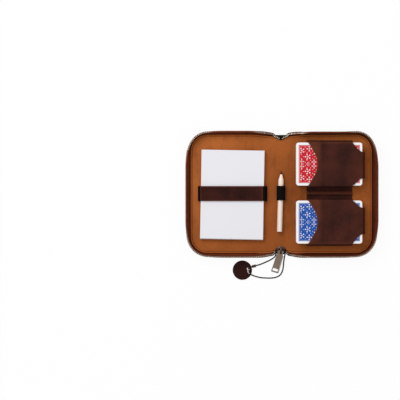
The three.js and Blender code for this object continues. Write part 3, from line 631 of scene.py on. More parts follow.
@dataclass(frozen=True)
class Metal:
    """A plated metal: two tones of its plating and how polished it is."""

    name: str
    bright: Colour
    dark: Colour
    rough: float
    patch: float = 0.004
    # brown: the tone that the wear attribute mixes in, a painted reflection or painted highlight where it is used
    brown: Colour = (63, 49, 39)

    def material(self) -> bpy.types.Material:
        """The metal with cloudy tarnish and fine scratches, mixed towards its brown tone where the wear attribute says
        so, which carries painted reflection and painted highlights.
        """
        recipe = Recipe(self.name)
        cloud = recipe.noise(self.patch, 4).step(0.35, 0.65)
        scratch = recipe.noise(0.0006, 2, (1, 0.08, 1))
        colour = recipe.mix(self.bright, self.dark, cloud * 0.75)
        colour = recipe.mix(colour, self.brown, recipe.attribute("wear"))
        rough = cloud * 0.12 + scratch * 0.1 + (self.rough - 0.08)
        return recipe.finish(colour, rough, scratch, 0.00002, metallic=1.0)


@dataclass(frozen=True)
class Hide:
    """Oiled leather: its main, deep and worn tones, the size of its grain and its gloss."""

    name: str
    main: Colour
    deep: Colour
    worn: Colour
    patch: float = 0.03
    rough: float = 0.62
    grain: float = 0.0011
    relief: float = 0.00012
    shine: float = 0.09

    def material(self) -> bpy.types.Material:
        """The leather, worn where the mesh's wear attribute says so."""
        recipe = Recipe(self.name)
        cloud = recipe.noise(self.patch, 4).step(0.3, 0.7)
        mottle = recipe.noise(self.patch / 7, 4).step(0.42, 0.72)
        scuff = recipe.noise(0.0022, 3, (1, 0.12, 1)).step(0.6, 0.74)
        worn = recipe.attribute("wear") * (recipe.noise(0.004, 4) + 0.45)
        colour = recipe.mix(self.main, self.deep, cloud * 0.8)
        colour = recipe.mix(colour, self.worn, mottle * 0.08 + scuff * 0.1)
        colour = recipe.mix(colour, self.worn, worn.at_most_one())
        height = recipe.pores(self.grain) * 0.7 + recipe.noise(self.grain * 5, 3) * 0.8
        height = height + recipe.noise(self.grain / 3, 2) * 0.25
        rough = recipe.noise(self.grain * 8, 2) * 0.16 + (self.rough - 0.08)
        return recipe.finish(colour, rough, height, self.relief, self.shine)


@dataclass(frozen=True)
class Suede:
    """Brushed suede, with a painted highlight on its turned edge and painted shade in the sewn groove."""

    name: str
    main: Colour
    light: Colour
    # edge and groove: painted highlight tone of the turned edge and painted shade tone of the sewn groove
    dark: Colour
    edge: Colour
    groove: Colour

    def material(self) -> bpy.types.Material:
        """The suede with its cloudy nap: painted light at the upper left, painted shade in the middle beside the decks,
        pale at the far side.
        """
        recipe = Recipe(self.name)
        cloud = recipe.noise(0.045, 4).step(0.34, 0.66)
        rubbed = recipe.noise(0.009, 4, (1, 0.55, 1)).step(0.5, 0.72)
        fibre = recipe.noise(0.0009, 3)
        x, y, _ = recipe.axes()
        # painted light: lighter towards the upper left, where the lamp falls
        painted_upper_left_light = (y * 0.6 - x).step(0.0, 0.15)
        # painted shade: darker in the middle, beside the tall decks
        pressed = abs(x - 0.026).step(0.055, 0.0) * abs(y + 0.005).step(0.072, 0.03)
        pale = x.step(0.02, 0.06) * (1 - pressed)
        light = (cloud * 0.3 + painted_upper_left_light * 0.84 + pale * 0.42).at_most_one()
        colour = recipe.mix(self.main, self.light, light)
        colour = recipe.mix(colour, self.dark, pressed * 0.45 + rubbed * 0.3)
        colour = recipe.mix(colour, self.dark, fibre.step(0.45, 0.75) * 0.3)
        # painted highlight on the turned edge, painted shade in the groove
        strip = recipe.attribute("edge")
        colour = recipe.mix(colour, self.edge, strip.step(0.0, 1.0) * 0.8)
        colour = recipe.mix(colour, self.groove, strip.step(0.0, -0.8))
        height = fibre + recipe.noise(0.0025, 2) * 0.6
        return recipe.finish(colour, 0.94, height, 0.0001, 0.1)


@dataclass(frozen=True)
class Weave:
    """Woven tape or elastic in its own UV map: thread colour and the pitch of its ribs."""

    name: str
    thread: Colour
    shade: Colour
    along: float = 0.0007
    across: float = 0.0009
    shine: float = 0.08
    brown: Colour = (113, 55, 34)

    def material(self) -> bpy.types.Material:
        """The weave with ribs both ways, browned where the wear attribute says so."""
        recipe = Recipe(self.name)
        u, v, _ = recipe.axes(recipe.flat)
        ribs = u.wave(self.along) * 0.6 + v.wave(self.across) * 0.4
        fuzz = recipe.noise(0.0008, 3)
        colour = recipe.mix(self.shade, self.thread, (ribs * 0.7 + fuzz * 0.5).at_most_one())
        colour = recipe.mix(colour, self.brown, recipe.attribute("wear") * (ribs * 0.35 + 0.55))
        return recipe.finish(colour, 0.85, ribs + fuzz * 0.3, 0.00012, self.shine)


@dataclass(frozen=True)
class Thread:
    """Waxed sewing thread."""

    name: str
    colour: Colour
    shade: Colour

    def material(self) -> bpy.types.Material:
        """The thread with its twist."""
        recipe = Recipe(self.name)
        x, y, _ = recipe.axes()
        twist = (x + y).wave(0.0006)
        colour = recipe.mix(self.colour, self.shade, twist * 0.5 + recipe.noise(0.006, 2) * 0.4)
        return recipe.finish(colour, 0.6, twist, 0.00008, 0.3)


@dataclass(frozen=True)
class Paper:
    """Paper or card: its tone, the tone between its layers, and the layers' pitch where its edges show."""

    name: str
    main: Colour
    gap: Colour
    layer: float = 0.00032

    def material(self) -> bpy.types.Material:
        """The paper, with lines between its layers on upright faces."""
        recipe = Recipe(self.name)
        _, _, z = recipe.axes()
        _, _, up = recipe.axes(recipe.node("ShaderNodeNewGeometry").outputs["Normal"])
        side = 1 - abs(up).step(0.3, 0.7)
        line = (z + recipe.noise(0.01, 2) * 0.0002).wave(self.layer)
        uneven = recipe.noise(0.0012, 2, (0.2, 0.2, 3)).step(0.5, 0.8)
        share = side * (line.step(0.45, 1.0) * 0.4 + uneven * 0.35) + recipe.noise(0.03, 3) * 0.06
        colour = recipe.mix(self.main, self.gap, share)
        height = line * side + recipe.noise(0.0006, 2) * 0.2
        return recipe.finish(colour, 0.8, height, 0.00005, 0.2)


@dataclass(frozen=True)
class Board:
    """Pressed grey or brown board with flecks."""

    name: str
    main: Colour
    fleck: Colour

    def material(self) -> bpy.types.Material:
        """The board with its fibres."""
        recipe = Recipe(self.name)
        fleck = recipe.noise(0.0008, 3, (1, 0.3, 1)).step(0.55, 0.8)
        colour = recipe.mix(self.main, self.fleck, fleck * 0.6 + recipe.noise(0.012, 3) * 0.25)
        return recipe.finish(colour, 0.9, recipe.noise(0.0005, 2), 0.00005)


@dataclass(frozen=True)
class PencilWood:
    """Pale lacquered cedar with long grain, with painted shade making the barrel's sides redder, and bare on the cone.
    """

    name: str
    main: Colour
    grain: Colour
    bare: Colour
    axis_x: float

    def material(self) -> bpy.types.Material:
        """The wood; the cone attribute is 1 on the sharpened end."""
        recipe = Recipe(self.name)
        grain = recipe.noise(0.0009, 3, (1, 0.035, 1)).step(0.45, 0.75)
        x, _, _ = recipe.axes()
        # painted shade: redder towards the barrel's sides, away from its lit top
        side = abs(x - self.axis_x).step(0.0022, 0.0040)
        colour = recipe.mix(self.main, self.grain, grain * 0.35 + side * 0.5)
        colour = recipe.mix(colour, self.bare, recipe.attribute("cone"))
        return recipe.finish(colour, 0.5, grain + recipe.noise(0.0004, 2) * 0.3, 0.00004, 0.35)


@dataclass(frozen=True)
class CardBack:
    """A made-up card back: a pale border, a thin line and a field of flowers, mirrored both ways."""

    name: str
    ink: Colour
    middle: Pair
    half: Pair
    paper: Colour = (248, 246, 248)
    border: float = 0.0033
    line_inset: float = 0.0011
    print_inset: float = 0.0015
    soft_edge: float = 0.0001
    white_share: float = 0.8
    line_share: float = 0.5
    dot_pitch: float = 0.0050
    five_petals_from: float = 0.0044
    flowers: tuple = (
        (0.0, 0.0, 0.0052), (0.0108, 0.0046, 0.0046), (0.0206, 0.0028, 0.0036), (0.0160, 0.0140, 0.0056),
        (0.0290, 0.0098, 0.0048), (0.0372, 0.0034, 0.0034), (0.0372, 0.0182, 0.0046), (0.0270, 0.0206, 0.0042),
        (0.0048, 0.0138, 0.0040), (0.0072, 0.0224, 0.0030), (0.0176, 0.0232, 0.0022), (0.0290, 0.0, 0.0026),
    )

    def material(self) -> bpy.types.Material:
        """The printed card."""
        recipe = Recipe(self.name)
        x, y, _ = recipe.axes()
        x, y = abs(x - self.middle[0]), abs(y - self.middle[1])
        inset = (self.half[0] - x).math("MINIMUM", self.half[1] - y)
        line = abs(inset - (self.border + self.line_inset)).step(0.00034, 0.0002)
        flowers = self.lattice(x, y)
        for centre_x, centre_y, radius in self.flowers:
            flowers = self.flower(x - centre_x, y - centre_y, radius, flowers)
        start = self.border + self.print_inset
        flowers = flowers * inset.step(start, start + 2 * self.soft_edge) * self.white_share
        colour = recipe.mix(self.ink, self.paper, flowers.math("MAXIMUM", line * self.line_share))
        printed = inset.step(self.border - self.soft_edge, self.border + self.soft_edge)
        colour = recipe.mix(self.paper, colour, printed)
        rough = recipe.noise(0.004, 2) * 0.08 + 0.42
        linen = x.wave(0.0005) + y.wave(0.0005)
        return recipe.finish(colour, rough, linen, 0.000008, 0.3)

    def lattice(self, x: Wire, y: Wire) -> Wire:
        """Small dots on a slanted lattice."""
        across = ((x + y) / self.dot_pitch).math("PINGPONG", 0.5)
        up = ((x - y) / self.dot_pitch).math("PINGPONG", 0.5)
        return (across * across + up * up).math("SQRT").step(0.16, 0.11)

    def flower(self, x: Wire, y: Wire, radius: float, under: Wire) -> Wire:
        """A flower of petals round a dot, printed over what is under it."""
        away = (x * x + y * y).math("SQRT")
        count = 5.0 if radius > self.five_petals_from else 4.0
        petals = (y.math("ARCTAN2", x) * count).math("COSINE").step(0.25, 0.55)
        petals = petals * away.step(radius * 0.36, radius * 0.46) * away.step(radius * 0.90, radius * 0.80)
        dot = away.step(radius * 0.24, radius * 0.16)
        inside = away.step(radius + self.soft_edge, radius - self.soft_edge)
        return petals.math("MAXIMUM", dot) * inside + under * (1 - inside)


class Finishes:
    """The shop's finishes, each made once."""

    def __init__(self) -> None:
        """Makes every finish."""
        self.cover_leather = Hide("cover_leather", (82, 36, 27), (62, 27, 20), (150, 75, 35)).material()
        self.gusset_leather = Hide("gusset_leather", (96, 41, 23), (72, 30, 17), (150, 76, 42)).material()
        self.pocket_leather = Hide("pocket_leather", (71, 32, 25), (40, 18, 14), (108, 57, 34), 0.024, 0.66).material()
        self.strap_leather = Hide("strap_leather", (57, 22, 16), (31, 12, 9), (102, 44, 30), 0.02).material()
        self.tag_leather = Hide("tag_leather", (44, 16, 10), (33, 11, 8), (80, 34, 20)).material()
        suede = Suede("suede", (155, 84, 38), (189, 107, 52), (118, 60, 26), (176, 94, 44), (106, 52, 23))
        self.suede = suede.material()
        self.zip_tape = Weave("zip_tape", (26, 20, 19), (12, 10, 10)).material()
        self.elastic = Weave("elastic", (18, 16, 17), (8, 7, 8), 0.0011, 0.0006, 0.05).material()
        self.brown_thread = Thread("brown_thread", (96, 52, 34), (64, 32, 22)).material()
        self.dark_thread = Thread("dark_thread", (84, 46, 34), (50, 26, 20)).material()
        self.lining_thread = Thread("lining_thread", (170, 94, 48), (120, 60, 28)).material()
        self.rust_thread = Thread("rust_thread", (120, 44, 34), (80, 30, 24)).material()
        # tooth metal: its brown tone is a painted reflection of the leather
        tooth = Metal("tooth_metal", (232, 222, 206), (150, 136, 120), 0.34, 0.003, (150, 80, 56))
        self.tooth_metal = tooth.material()
        self.gunmetal = Metal("gunmetal", (118, 94, 88), (44, 34, 33), 0.28).material()
        # tab metal: its pale third tone is a painted highlight on the right edge
        tab = Metal("tab_metal", (158, 139, 124), (130, 112, 99), 0.42, 0.009, (206, 200, 196))
        self.tab_metal = tab.material()
        # bead metal: its pale third tone is a painted highlight
        bead = Metal("bead_metal", (60, 56, 52), (32, 30, 28), 0.42, 0.004, (226, 220, 210))
        self.bead_metal = bead.material()
        self.connector_metal = Metal("connector_metal", (84, 72, 58), (42, 36, 31), 0.38).material()
        self.page = Paper("page", (236, 235, 240), (205, 203, 206)).material()
        self.page_edges = Paper("page_edges", (232, 231, 234), (150, 148, 150), 0.0003).material()
        self.card_edges = Paper("card_edges", (222, 218, 214), (120, 114, 112), 0.0006).material()
        self.grey_board = Board("grey_board", (150, 146, 140), (104, 98, 92)).material()
        self.core_board = Board("core_board", (128, 104, 78), (88, 68, 50)).material()
        wood = PencilWood("pencil_wood", (244, 230, 216), (222, 172, 154), (255, 231, 217), -0.0005)
        self.pencil_wood = wood.material()
        self.graphite = Metal("graphite", (46, 46, 50), (28, 28, 31), 0.5).material()


@dataclass
class Studio:
    """Camera, floor and soft light for a straight look down on the open case."""

    middle: Pair = (-0.1094, -0.0077)
    level: float = 0.018
    height: float = 3.0
    frame_width: float = 0.540
    sensor: float = 36.0
    lamp_power: float = 10.5
    lamp_size: float = 0.9
    lamp_place: tuple[float, float, float] = (-0.75, 0.65, 1.15)
    ambient: float = 0.645
    floor_size: float = 6.0
    floor_grey: float = 0.93
    floor_glow: float = 0.94

    def build(self) -> None:
        """Sets up all of the studio."""
        scene = bpy.context.scene
        scene.view_settings.view_transform = "Standard"
        self.camera(scene)
        self.lamp(scene)
        self.world(scene)
        self.floor()
        log.info("studio set up")

    def camera(self, scene: bpy.types.Scene) -> None:
        """Adds the camera, looking straight down."""
        data = bpy.data.cameras.new("camera")
        data.sensor_width = self.sensor
        data.lens = self.sensor * self.height / self.frame_width
        camera = bpy.data.objects.new("camera", data)
        camera.location = (*self.middle, self.level + self.height)
        scene.collection.objects.link(camera)
        scene.camera = camera

    def lamp(self, scene: bpy.types.Scene) -> None:
        """Adds one large soft lamp from the upper left."""
        data = bpy.data.lights.new("softbox", "AREA")
        data.energy = self.lamp_power
        data.size = self.lamp_size
        lamp = bpy.data.objects.new("softbox", data)
        lamp.location = self.lamp_place
        lamp.rotation_euler = Vector(self.lamp_place).to_track_quat("Z", "Y").to_euler()
        scene.collection.objects.link(lamp)

    def world(self, scene: bpy.types.Scene) -> None:
        """White to the camera, an even pale light to the object."""
        world = bpy.data.worlds.new("studio")
        world.use_nodes = True
        nodes, links = world.node_tree.nodes, world.node_tree.links
        nodes.clear()
        path = nodes.new("ShaderNodeLightPath")
        even, white = nodes.new("ShaderNodeBackground"), nodes.new("ShaderNodeBackground")
        even.inputs["Strength"].default_value = self.ambient
        white.inputs["Color"].default_value = even.inputs["Color"].default_value = (1, 1, 1, 1)
        mix = nodes.new("ShaderNodeMixShader")
        out = nodes.new("ShaderNodeOutputWorld")
        sources = (path.outputs["Is Camera Ray"], even.outputs[0], white.outputs[0])
        for source, target in zip(sources, mix.inputs):
            links.new(source, target)
        links.new(mix.outputs[0], out.inputs[0])
        scene.world = world

    def floor(self) -> None:
        """A white floor that keeps a light shadow."""
        Piece.clear_selection()
        bpy.ops.mesh.primitive_plane_add(size=self.floor_size, location=(*self.middle, 0))
        floor = Piece("floor")
        recipe = Recipe("floor")
        path = recipe.node("ShaderNodeLightPath")
        seen = Wire(recipe, path.outputs["Is Camera Ray"]) + Wire(recipe, path.outputs["Is Glossy Ray"])
        matt = recipe.node("ShaderNodeBsdfDiffuse", None, {"Color": (*[self.floor_grey] * 3, 1)})
        glow = recipe.node("ShaderNodeEmission", None, {"Color": (1, 1, 1, 1), "Strength": 1.0})
        share = seen.at_most_one() * self.floor_glow
        mixed = recipe.node("ShaderNodeMixShader", None, {0: share, 1: matt.outputs[0], 2: glow.outputs[0]})
        recipe.node("ShaderNodeOutputMaterial", None, {"Surface": mixed.outputs[0]})
        floor.obj.data.materials.append(recipe.material)


@dataclass
class BallChain:
    """Ball chain from the slider's bridge through the tag's hole and back, with the sleeve that closes it."""

    finishes: Finishes
    diameter: float = 0.0022
    beads: int = 47
    bead_sides: int = 10
    bead_rings: int = 7
    wire_radius: float = 0.00092
    sleeve_radius: float = 0.00195
    sleeve_length: float = 0.0055
    sleeve_wall: float = 0.00045
    sleeve_rim: float = 0.0003
    joined_at: int = 10
    lean: tuple[float, float, float] = (0.1, 0.2, 1)
    on_tag: tuple[float, float, float] = (-0.0439, -0.1050, 0.0060)
    highlight_share: float = 0.85
    path_steps: int = 240
    route_mm: tuple = (
        (-0.35, -74.3, 11.6), (-3.1, -74.3, 11.5), (-5.6, -75.4, 10.9), (-6.6, -77.9, 10.2), (-6.6, -81.2, 8.5),
        (-8.2, -84.8, 5.7), (-11.3, -87.4, 3), (-15.7, -90, 1.5), (-21.8, -92.8, 1.25), (-27.8, -95.2, 1.4),
        (-33.3, -96.7, 2.05), (-39.1, -98.3, 2.05), (-41.8, -99.2, 1.25), (-43.1, -100.1, 1.75), (-44, -101.3, 3.5),
        (-44.4, -102.6, 5.2), (-44.5, -104.4, 6), (-43.7, -106.2, 6.1), (-42.1, -107.7, 6.2), (-39.9, -109, 5.9),
        (-37, -110.3, 4.4), (-34.2, -111.3, 2.6), (-31, -112.2, 1.4), (-26, -113.2, 1.2), (-19.4, -113.6, 1.2),
        (-12, -113.6, 1.2), (-5.6, -112.4, 1.2), (-0.4, -109.3, 1.2), (2.5, -104, 1.2), (3.7, -98, 1.2),
        (4.1, -93, 1.7), (4.7, -88, 4), (5.2, -83.8, 7.3), (5.9, -80.5, 9.7), (5.8, -77.4, 11), (4.2, -75.2, 11.5),
        (0.35, -74.3, 11.6),
    )

    def build(self, tag: bpy.types.Object) -> None:
        """Args:
            tag: the leather tag that hangs on the chain; not used.
        """
        points = [Vector(p) * 0.001 for p in self.route_mm]
        route = Route(points)
        sleeve = self.sleeve(points[self.joined_at], points[self.joined_at + 1])
        chain = self.strand(route)
        # wear attribute: painted highlight on the beads by the tag
        chain.attribute("wear", self.bright)
        chain.dress(self.finishes.bead_metal, "chain_metal", 60).done()
        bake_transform(chain.obj)
        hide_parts("ball_chain")
        step = route.length / self.path_steps
        [route.at(i * step) for i in range(self.path_steps + 1)]
        log.info("chain is %.4f m long", route.length)

    def bright(self, point: Vector) -> float:
        """Painted highlight on the beads where they lie on the tag."""
        return self.highlight_share * fade((point - Vector(self.on_tag)).length, 0.0024, 0.0036)

    def strand(self, route: Route) -> Piece:
        """Beads at an even pitch on a thin wire along the route."""
        pitch = route.length / self.beads
        bead = Piece.ball("bead", (self.diameter / 2,) * 3, self.bead_sides, self.bead_rings)
        turn = Matrix.Rotation(QUARTER, 4, "Y")
        middles = [(i + 0.5) * pitch for i in range(self.beads)]
        beads = bead.copies("beads", [frame_at(route.at(m), route.along(m), Vector(self.lean)) @ turn for m in middles])
        line = bpy.data.curves.new("link_wire", "CURVE")
        line.dimensions = "3D"
        line.bevel_depth = self.wire_radius
        line.bevel_resolution = 1
        line.use_fill_caps = True
        spline = line.splines.new("POLY")
        count = 2 * self.beads
        spline.points.add(count)
        for i, point in enumerate(spline.points):
            point.co = (*route.at(route.length * i / count), 1)
        wire = bpy.data.objects.new("link_wire", line)
        bpy.context.scene.collection.objects.link(wire)
        Piece.clear_selection()
        wire.select_set(True)
        bpy.context.view_layer.objects.active = wire
        bpy.ops.object.convert(target="MESH")
        return Piece.joined("bead_chain", [beads.obj, wire])

    def sleeve(self, before: Vector, after: Vector) -> bpy.types.Object:
        """The slotted sleeve that holds the chain's two end beads."""
        half = self.sleeve_length / 2
        sleeve = Piece.rod("chain_sleeve", self.sleeve_radius, -half, half, 24)
        sleeve.pick(Kind.FACE, lambda face: abs(face.normal.z) > UPRIGHT)
        sleeve.inset(self.sleeve_rim).inset(self.sleeve_wall - self.sleeve_rim)
        bpy.ops.mesh.bridge_edge_loops()
        sleeve.outwards().ease(0.00018)
        sleeve.move(frame_at(before.lerp(after, 0.5), after - before, UP) @ Matrix.Rotation(QUARTER, 4, "Y"))
        sleeve.dress(self.finishes.connector_metal, "connector_metal")
        return sleeve.ride("back_half", "chain_connector")


@dataclass
class LeatherTag:
    """Round tag with a hole for the chain, leaning on the strand below it."""

    finishes: Finishes
    radius: float = 0.0132
    thickness: float = 0.0018
    hole_radius: float = 0.0017
    hole_offset: Pair = (0.0078, 0.00155)
    centre: Pair = (-0.0517, -0.1029)
    tilt_deg: float = 7.1
    sides: int = 56
    rings: int = 10

    def build(self) -> bpy.types.Object:
        """Makes the tag as rings between its hole and its rim."""

        def place(u: float, v: float) -> Vector:
            """A point of the tag's upper face."""
            around = Vector((math.cos(2 * math.pi * u), math.sin(2 * math.pi * u), 0))
            hole = Vector((self.radius + self.hole_offset[0], self.hole_offset[1], 0)) + around * self.hole_radius
            return hole.lerp(Vector((self.radius, 0, 0)) + around * self.radius, v)

        tag = Piece.grid("round_tag", self.sides, self.rings, place).outwards()
        tag.modify("SOLIDIFY", thickness=self.thickness, offset=1.0)
        tag.outwards().ease(0.0004, 3, 35)
        low = min(v.co.z for v in tag.obj.data.vertices)
        tag.move(Matrix.Translation((0, 0, -low)))
        turn = Matrix.Rotation(-math.radians(self.tilt_deg), 4, "Y")
        tag.move(Matrix.Translation((self.centre[0] - self.radius, self.centre[1], 0)) @ turn)
        tag.dress(self.finishes.tag_leather, "strap_leather")
        return tag.ride("back_half", "leather_tag")


@dataclass(frozen=True)
class Station:
    """One place on the rim of a half: its foot, its outward direction, and the zip's top and lean there."""

    place: Vector
    out: Vector
    top: float
    lean: float


@dataclass(frozen=True)
class Rim:
    """The edge of a half and the leaning wall on it, for the half on the side of +X."""

    side: Side
    reach: float = 0.124
    half_height: float = 0.0815
    corner: float = 0.024
    dip: float = 0.0012
    dip_start: float = 0.010
    dip_end: float = 0.028
    wall_inset: float = 0.00075
    wall_start: float = 0.0078
    foot: float = 0.0016
    zip_top: float = 0.01785
    zip_low: float = 0.00785
    rise_start: float = 0.012
    rise_end: float = 0.034
    lean_side: float = 0.0056
    lean_top: float = 0.0030
    lean_bottom: float = 0.0048
    lean_corner: float = 0.0029
    lean_cut: float = 0.0015
    lean_spine: float = 0.0050
    rise: float = 0.0016
    bulge: float = 0.6
    row_inward: float = 0.00145
    row_shift: float = 0.0010
    row_tuck: float = 0.0011
    row_to_top: tuple[Pair, ...] = ((0.0016, 0.0747), (0.0030, 0.0763), (0.0050, 0.0779))
    row_to_slider: tuple[Pair, ...] = ((0.0066, -0.0796), (0.0056, -0.0793))

    def edge(self, x: float) -> float:
        """Half height of the cover at a distance from the spine's middle."""
        return self.half_height - self.dip * smoothstep(self.dip_end - x, 0, self.dip_end - self.dip_start)

    def inset_at(self, point: Vector) -> float:
        """How far inside the cover's edge a point lies."""
        x, y = abs(point.x), abs(point.y)
        turn_x, turn_y = self.reach - self.corner, self.half_height - self.corner
        if x > turn_x and y > turn_y:
            return self.corner - math.hypot(x - turn_x, y - turn_y)
        return min(self.edge(x) - y, self.reach - x)

    def outline(self, start: float, steps: int = 48) -> list[tuple[Vector, Vector]]:
        """The edge, from the top round to the bottom.

        Args:
            start: distance from the spine's middle of its two ends.
            steps: parts of each straight side and of each corner.

        Returns:
            Points of the edge with their outward directions.
        """
        nudge = 1e-4
        turn_x, turn_y = self.reach - self.corner, self.half_height - self.corner
        upper = []
        for i in range(steps + 1):
            x = lerp(start, turn_x, i / steps)
            slope = (self.edge(x + nudge) - self.edge(x - nudge)) / (2 * nudge)
            upper.append((Vector((x, self.edge(x), 0)), Vector((-slope, 1, 0)).normalized()))
        for i in range(1, steps + 1):
            angle = QUARTER * (1 - i / steps)
            out = Vector((math.cos(angle), math.sin(angle), 0))
            upper.append((Vector((turn_x, turn_y, 0)) + out * self.corner, out))
        flip = Vector((1, -1, 1))
        return upper + [(point * flip, out * flip) for point, out in reversed(upper)]

    def stations(self, count: int) -> list[Station]:
        """Evenly spaced places along the wall."""
        made = []
        for point, out in spread(self.outline(self.wall_start), count):
            side = self.lean_top if out.y > 0 else self.lean_bottom
            lean = self.lean_side * out.x**2 + side * out.y**2
            turn = self.lean_corner - (self.lean_cut if out.y > 0 else 0.0)
            lean = lerp(turn, lean, smoothstep(self.from_corner(point, out), 0.004, 0.041))
            lean = lerp(self.lean_spine, lean, smoothstep(point.x, 0.014, self.rise_end))
            lean *= lerp(0.15, 1.0, smoothstep(point.x, 0.0070, 0.0115))
            top = lerp(self.zip_low, self.zip_top, smoothstep(point.x, self.rise_start, self.rise_end))
            made.append(Station(point - out * self.wall_inset, out, top, lean))
        return made

    def settle(self, piece: Piece) -> Piece:
        """Moves a piece's upper edge a little outwards, as the sewn case lies, and leaves the spine where it is."""
        for vertex in piece.done().obj.data.vertices:
            share = max(vertex.co.y / self.half_height + 1, 0.0) / 2
            vertex.co.y += self.rise * share * share * smoothstep(abs(vertex.co.x), 0.012, 0.045)
        return piece

    def fit(self, piece: Piece) -> Piece:
        """Settles a piece that was made for the +X half and turns it over to its own half."""
        return self.settle(piece).mirror(self.side)

    def from_corner(self, point: Vector, out: Vector) -> float:
        """Distance along the edge to the middle of the nearest corner."""
        if abs(out.y) > abs(out.x):
            straight = max(self.reach - self.corner - point.x, 0.0)
        else:
            straight = max(self.half_height - self.corner - abs(point.y), 0.0)
        return straight + self.corner * abs(math.atan2(abs(out.y), abs(out.x)) - math.pi / 4)

    def loose(self, points: Sequence[Pair]) -> list[Station]:
        """Upright stations off the wall, square to their line."""
        line = [Vector((*p, 0)) for p in points]
        made = []
        for i, point in enumerate(line):
            along = line[min(i + 1, len(line) - 1)] - line[max(i - 1, 0)]
            out = Vector((-along.y, along.x, 0)).normalized()
            made.append(Station(point + out * self.row_inward, out, self.zip_low, 0.0))
        return made

    def zip_row(self, count: int) -> list[Station]:
        """Places along the zip, which runs on into the V at the top and to the slider at the bottom."""
        return self.loose(self.row_to_top) + self.stations(count) + self.loose(self.row_to_slider)

    def wall(self, station: Station, z: float, inward: float) -> Vector:
        """A point of the leaning wall at a height, shifted inwards from its middle."""
        share = (z - self.foot) / (station.top - self.foot)
        out = station.lean * share * (1 + self.bulge * (1 - share)) - inward
        return station.place + station.out * out + Vector((0, 0, z))

    def row(self, station: Station, z: float) -> Vector:
        """A point of the zip, inside the wall at the spine and over its upper edge elsewhere."""
        x = abs(station.place.x)
        tuck = self.row_tuck * fade(x, 0.014, 0.030) if station.lean else 0.0
        above = smoothstep(z, station.top - 0.0055, station.top - 0.0020)
        return self.wall(station, z, self.row_inward + tuck - self.row_shift * above * smoothstep(x, 0.026, 0.042))

    def slab(self, name: str, start: float, section: Sequence[Pair], count: int, cuts: Iterable[float]) -> Piece:
        """A flat layer of the half's outline whose edge has a section of its own.

        Args:
            name: the piece.
            start: distance from the spine's middle where it starts.
            section: inset from the edge and height, from the upper face round the edge to the lower face.
            count: faces along the edge.
            cuts: distances from the spine's middle where the faces are divided.

        Returns:
            The closed layer.
        """
        line = spread(self.outline(start), count)
        last = len(section) - 1

        def place(u: float, v: float) -> Vector:
            """A point of the edge's skin."""
            point, out = line[round(u * count)]
            inset, z = section[round(v * last)]
            return point - out * inset + Vector((0, 0, z))

        piece = Piece.grid(name, count, last, place)
        for v in (0, 1):
            ends = place(0, v), place(1, v)
            piece.pick(Kind.POINT, lambda point: min((point.co - end).length for end in ends) < SAME_PLACE)
            bpy.ops.mesh.edge_face_add()
        piece.every()
        bpy.ops.mesh.fill_holes(sides=0)
        return piece.outwards().cut_across(cuts).done()


@dataclass(frozen=True)
class Seam:
    """A row of stitches: thread that lies on a surface and dips into it between two holes."""

    pitch: float = 0.0029
    stitch: float = 0.0021
    radius: float = 0.00026

    def sew(self, name: str, line: Line) -> Piece:
        """Lays stitches along a line of points with the surface's direction at each."""
        stitch = Piece.ball("stitch", (self.stitch / 2, self.radius * 0.8, self.radius), 6, 5)
        return stitch.copies(name, places_along(line, self.pitch))

    def sew_all(self, name: str, lines: Sequence[Line]) -> Piece:
        """Lays stitches along several lines, as one piece."""
        return Piece.joined(name, [self.sew("line", line).obj for line in lines])


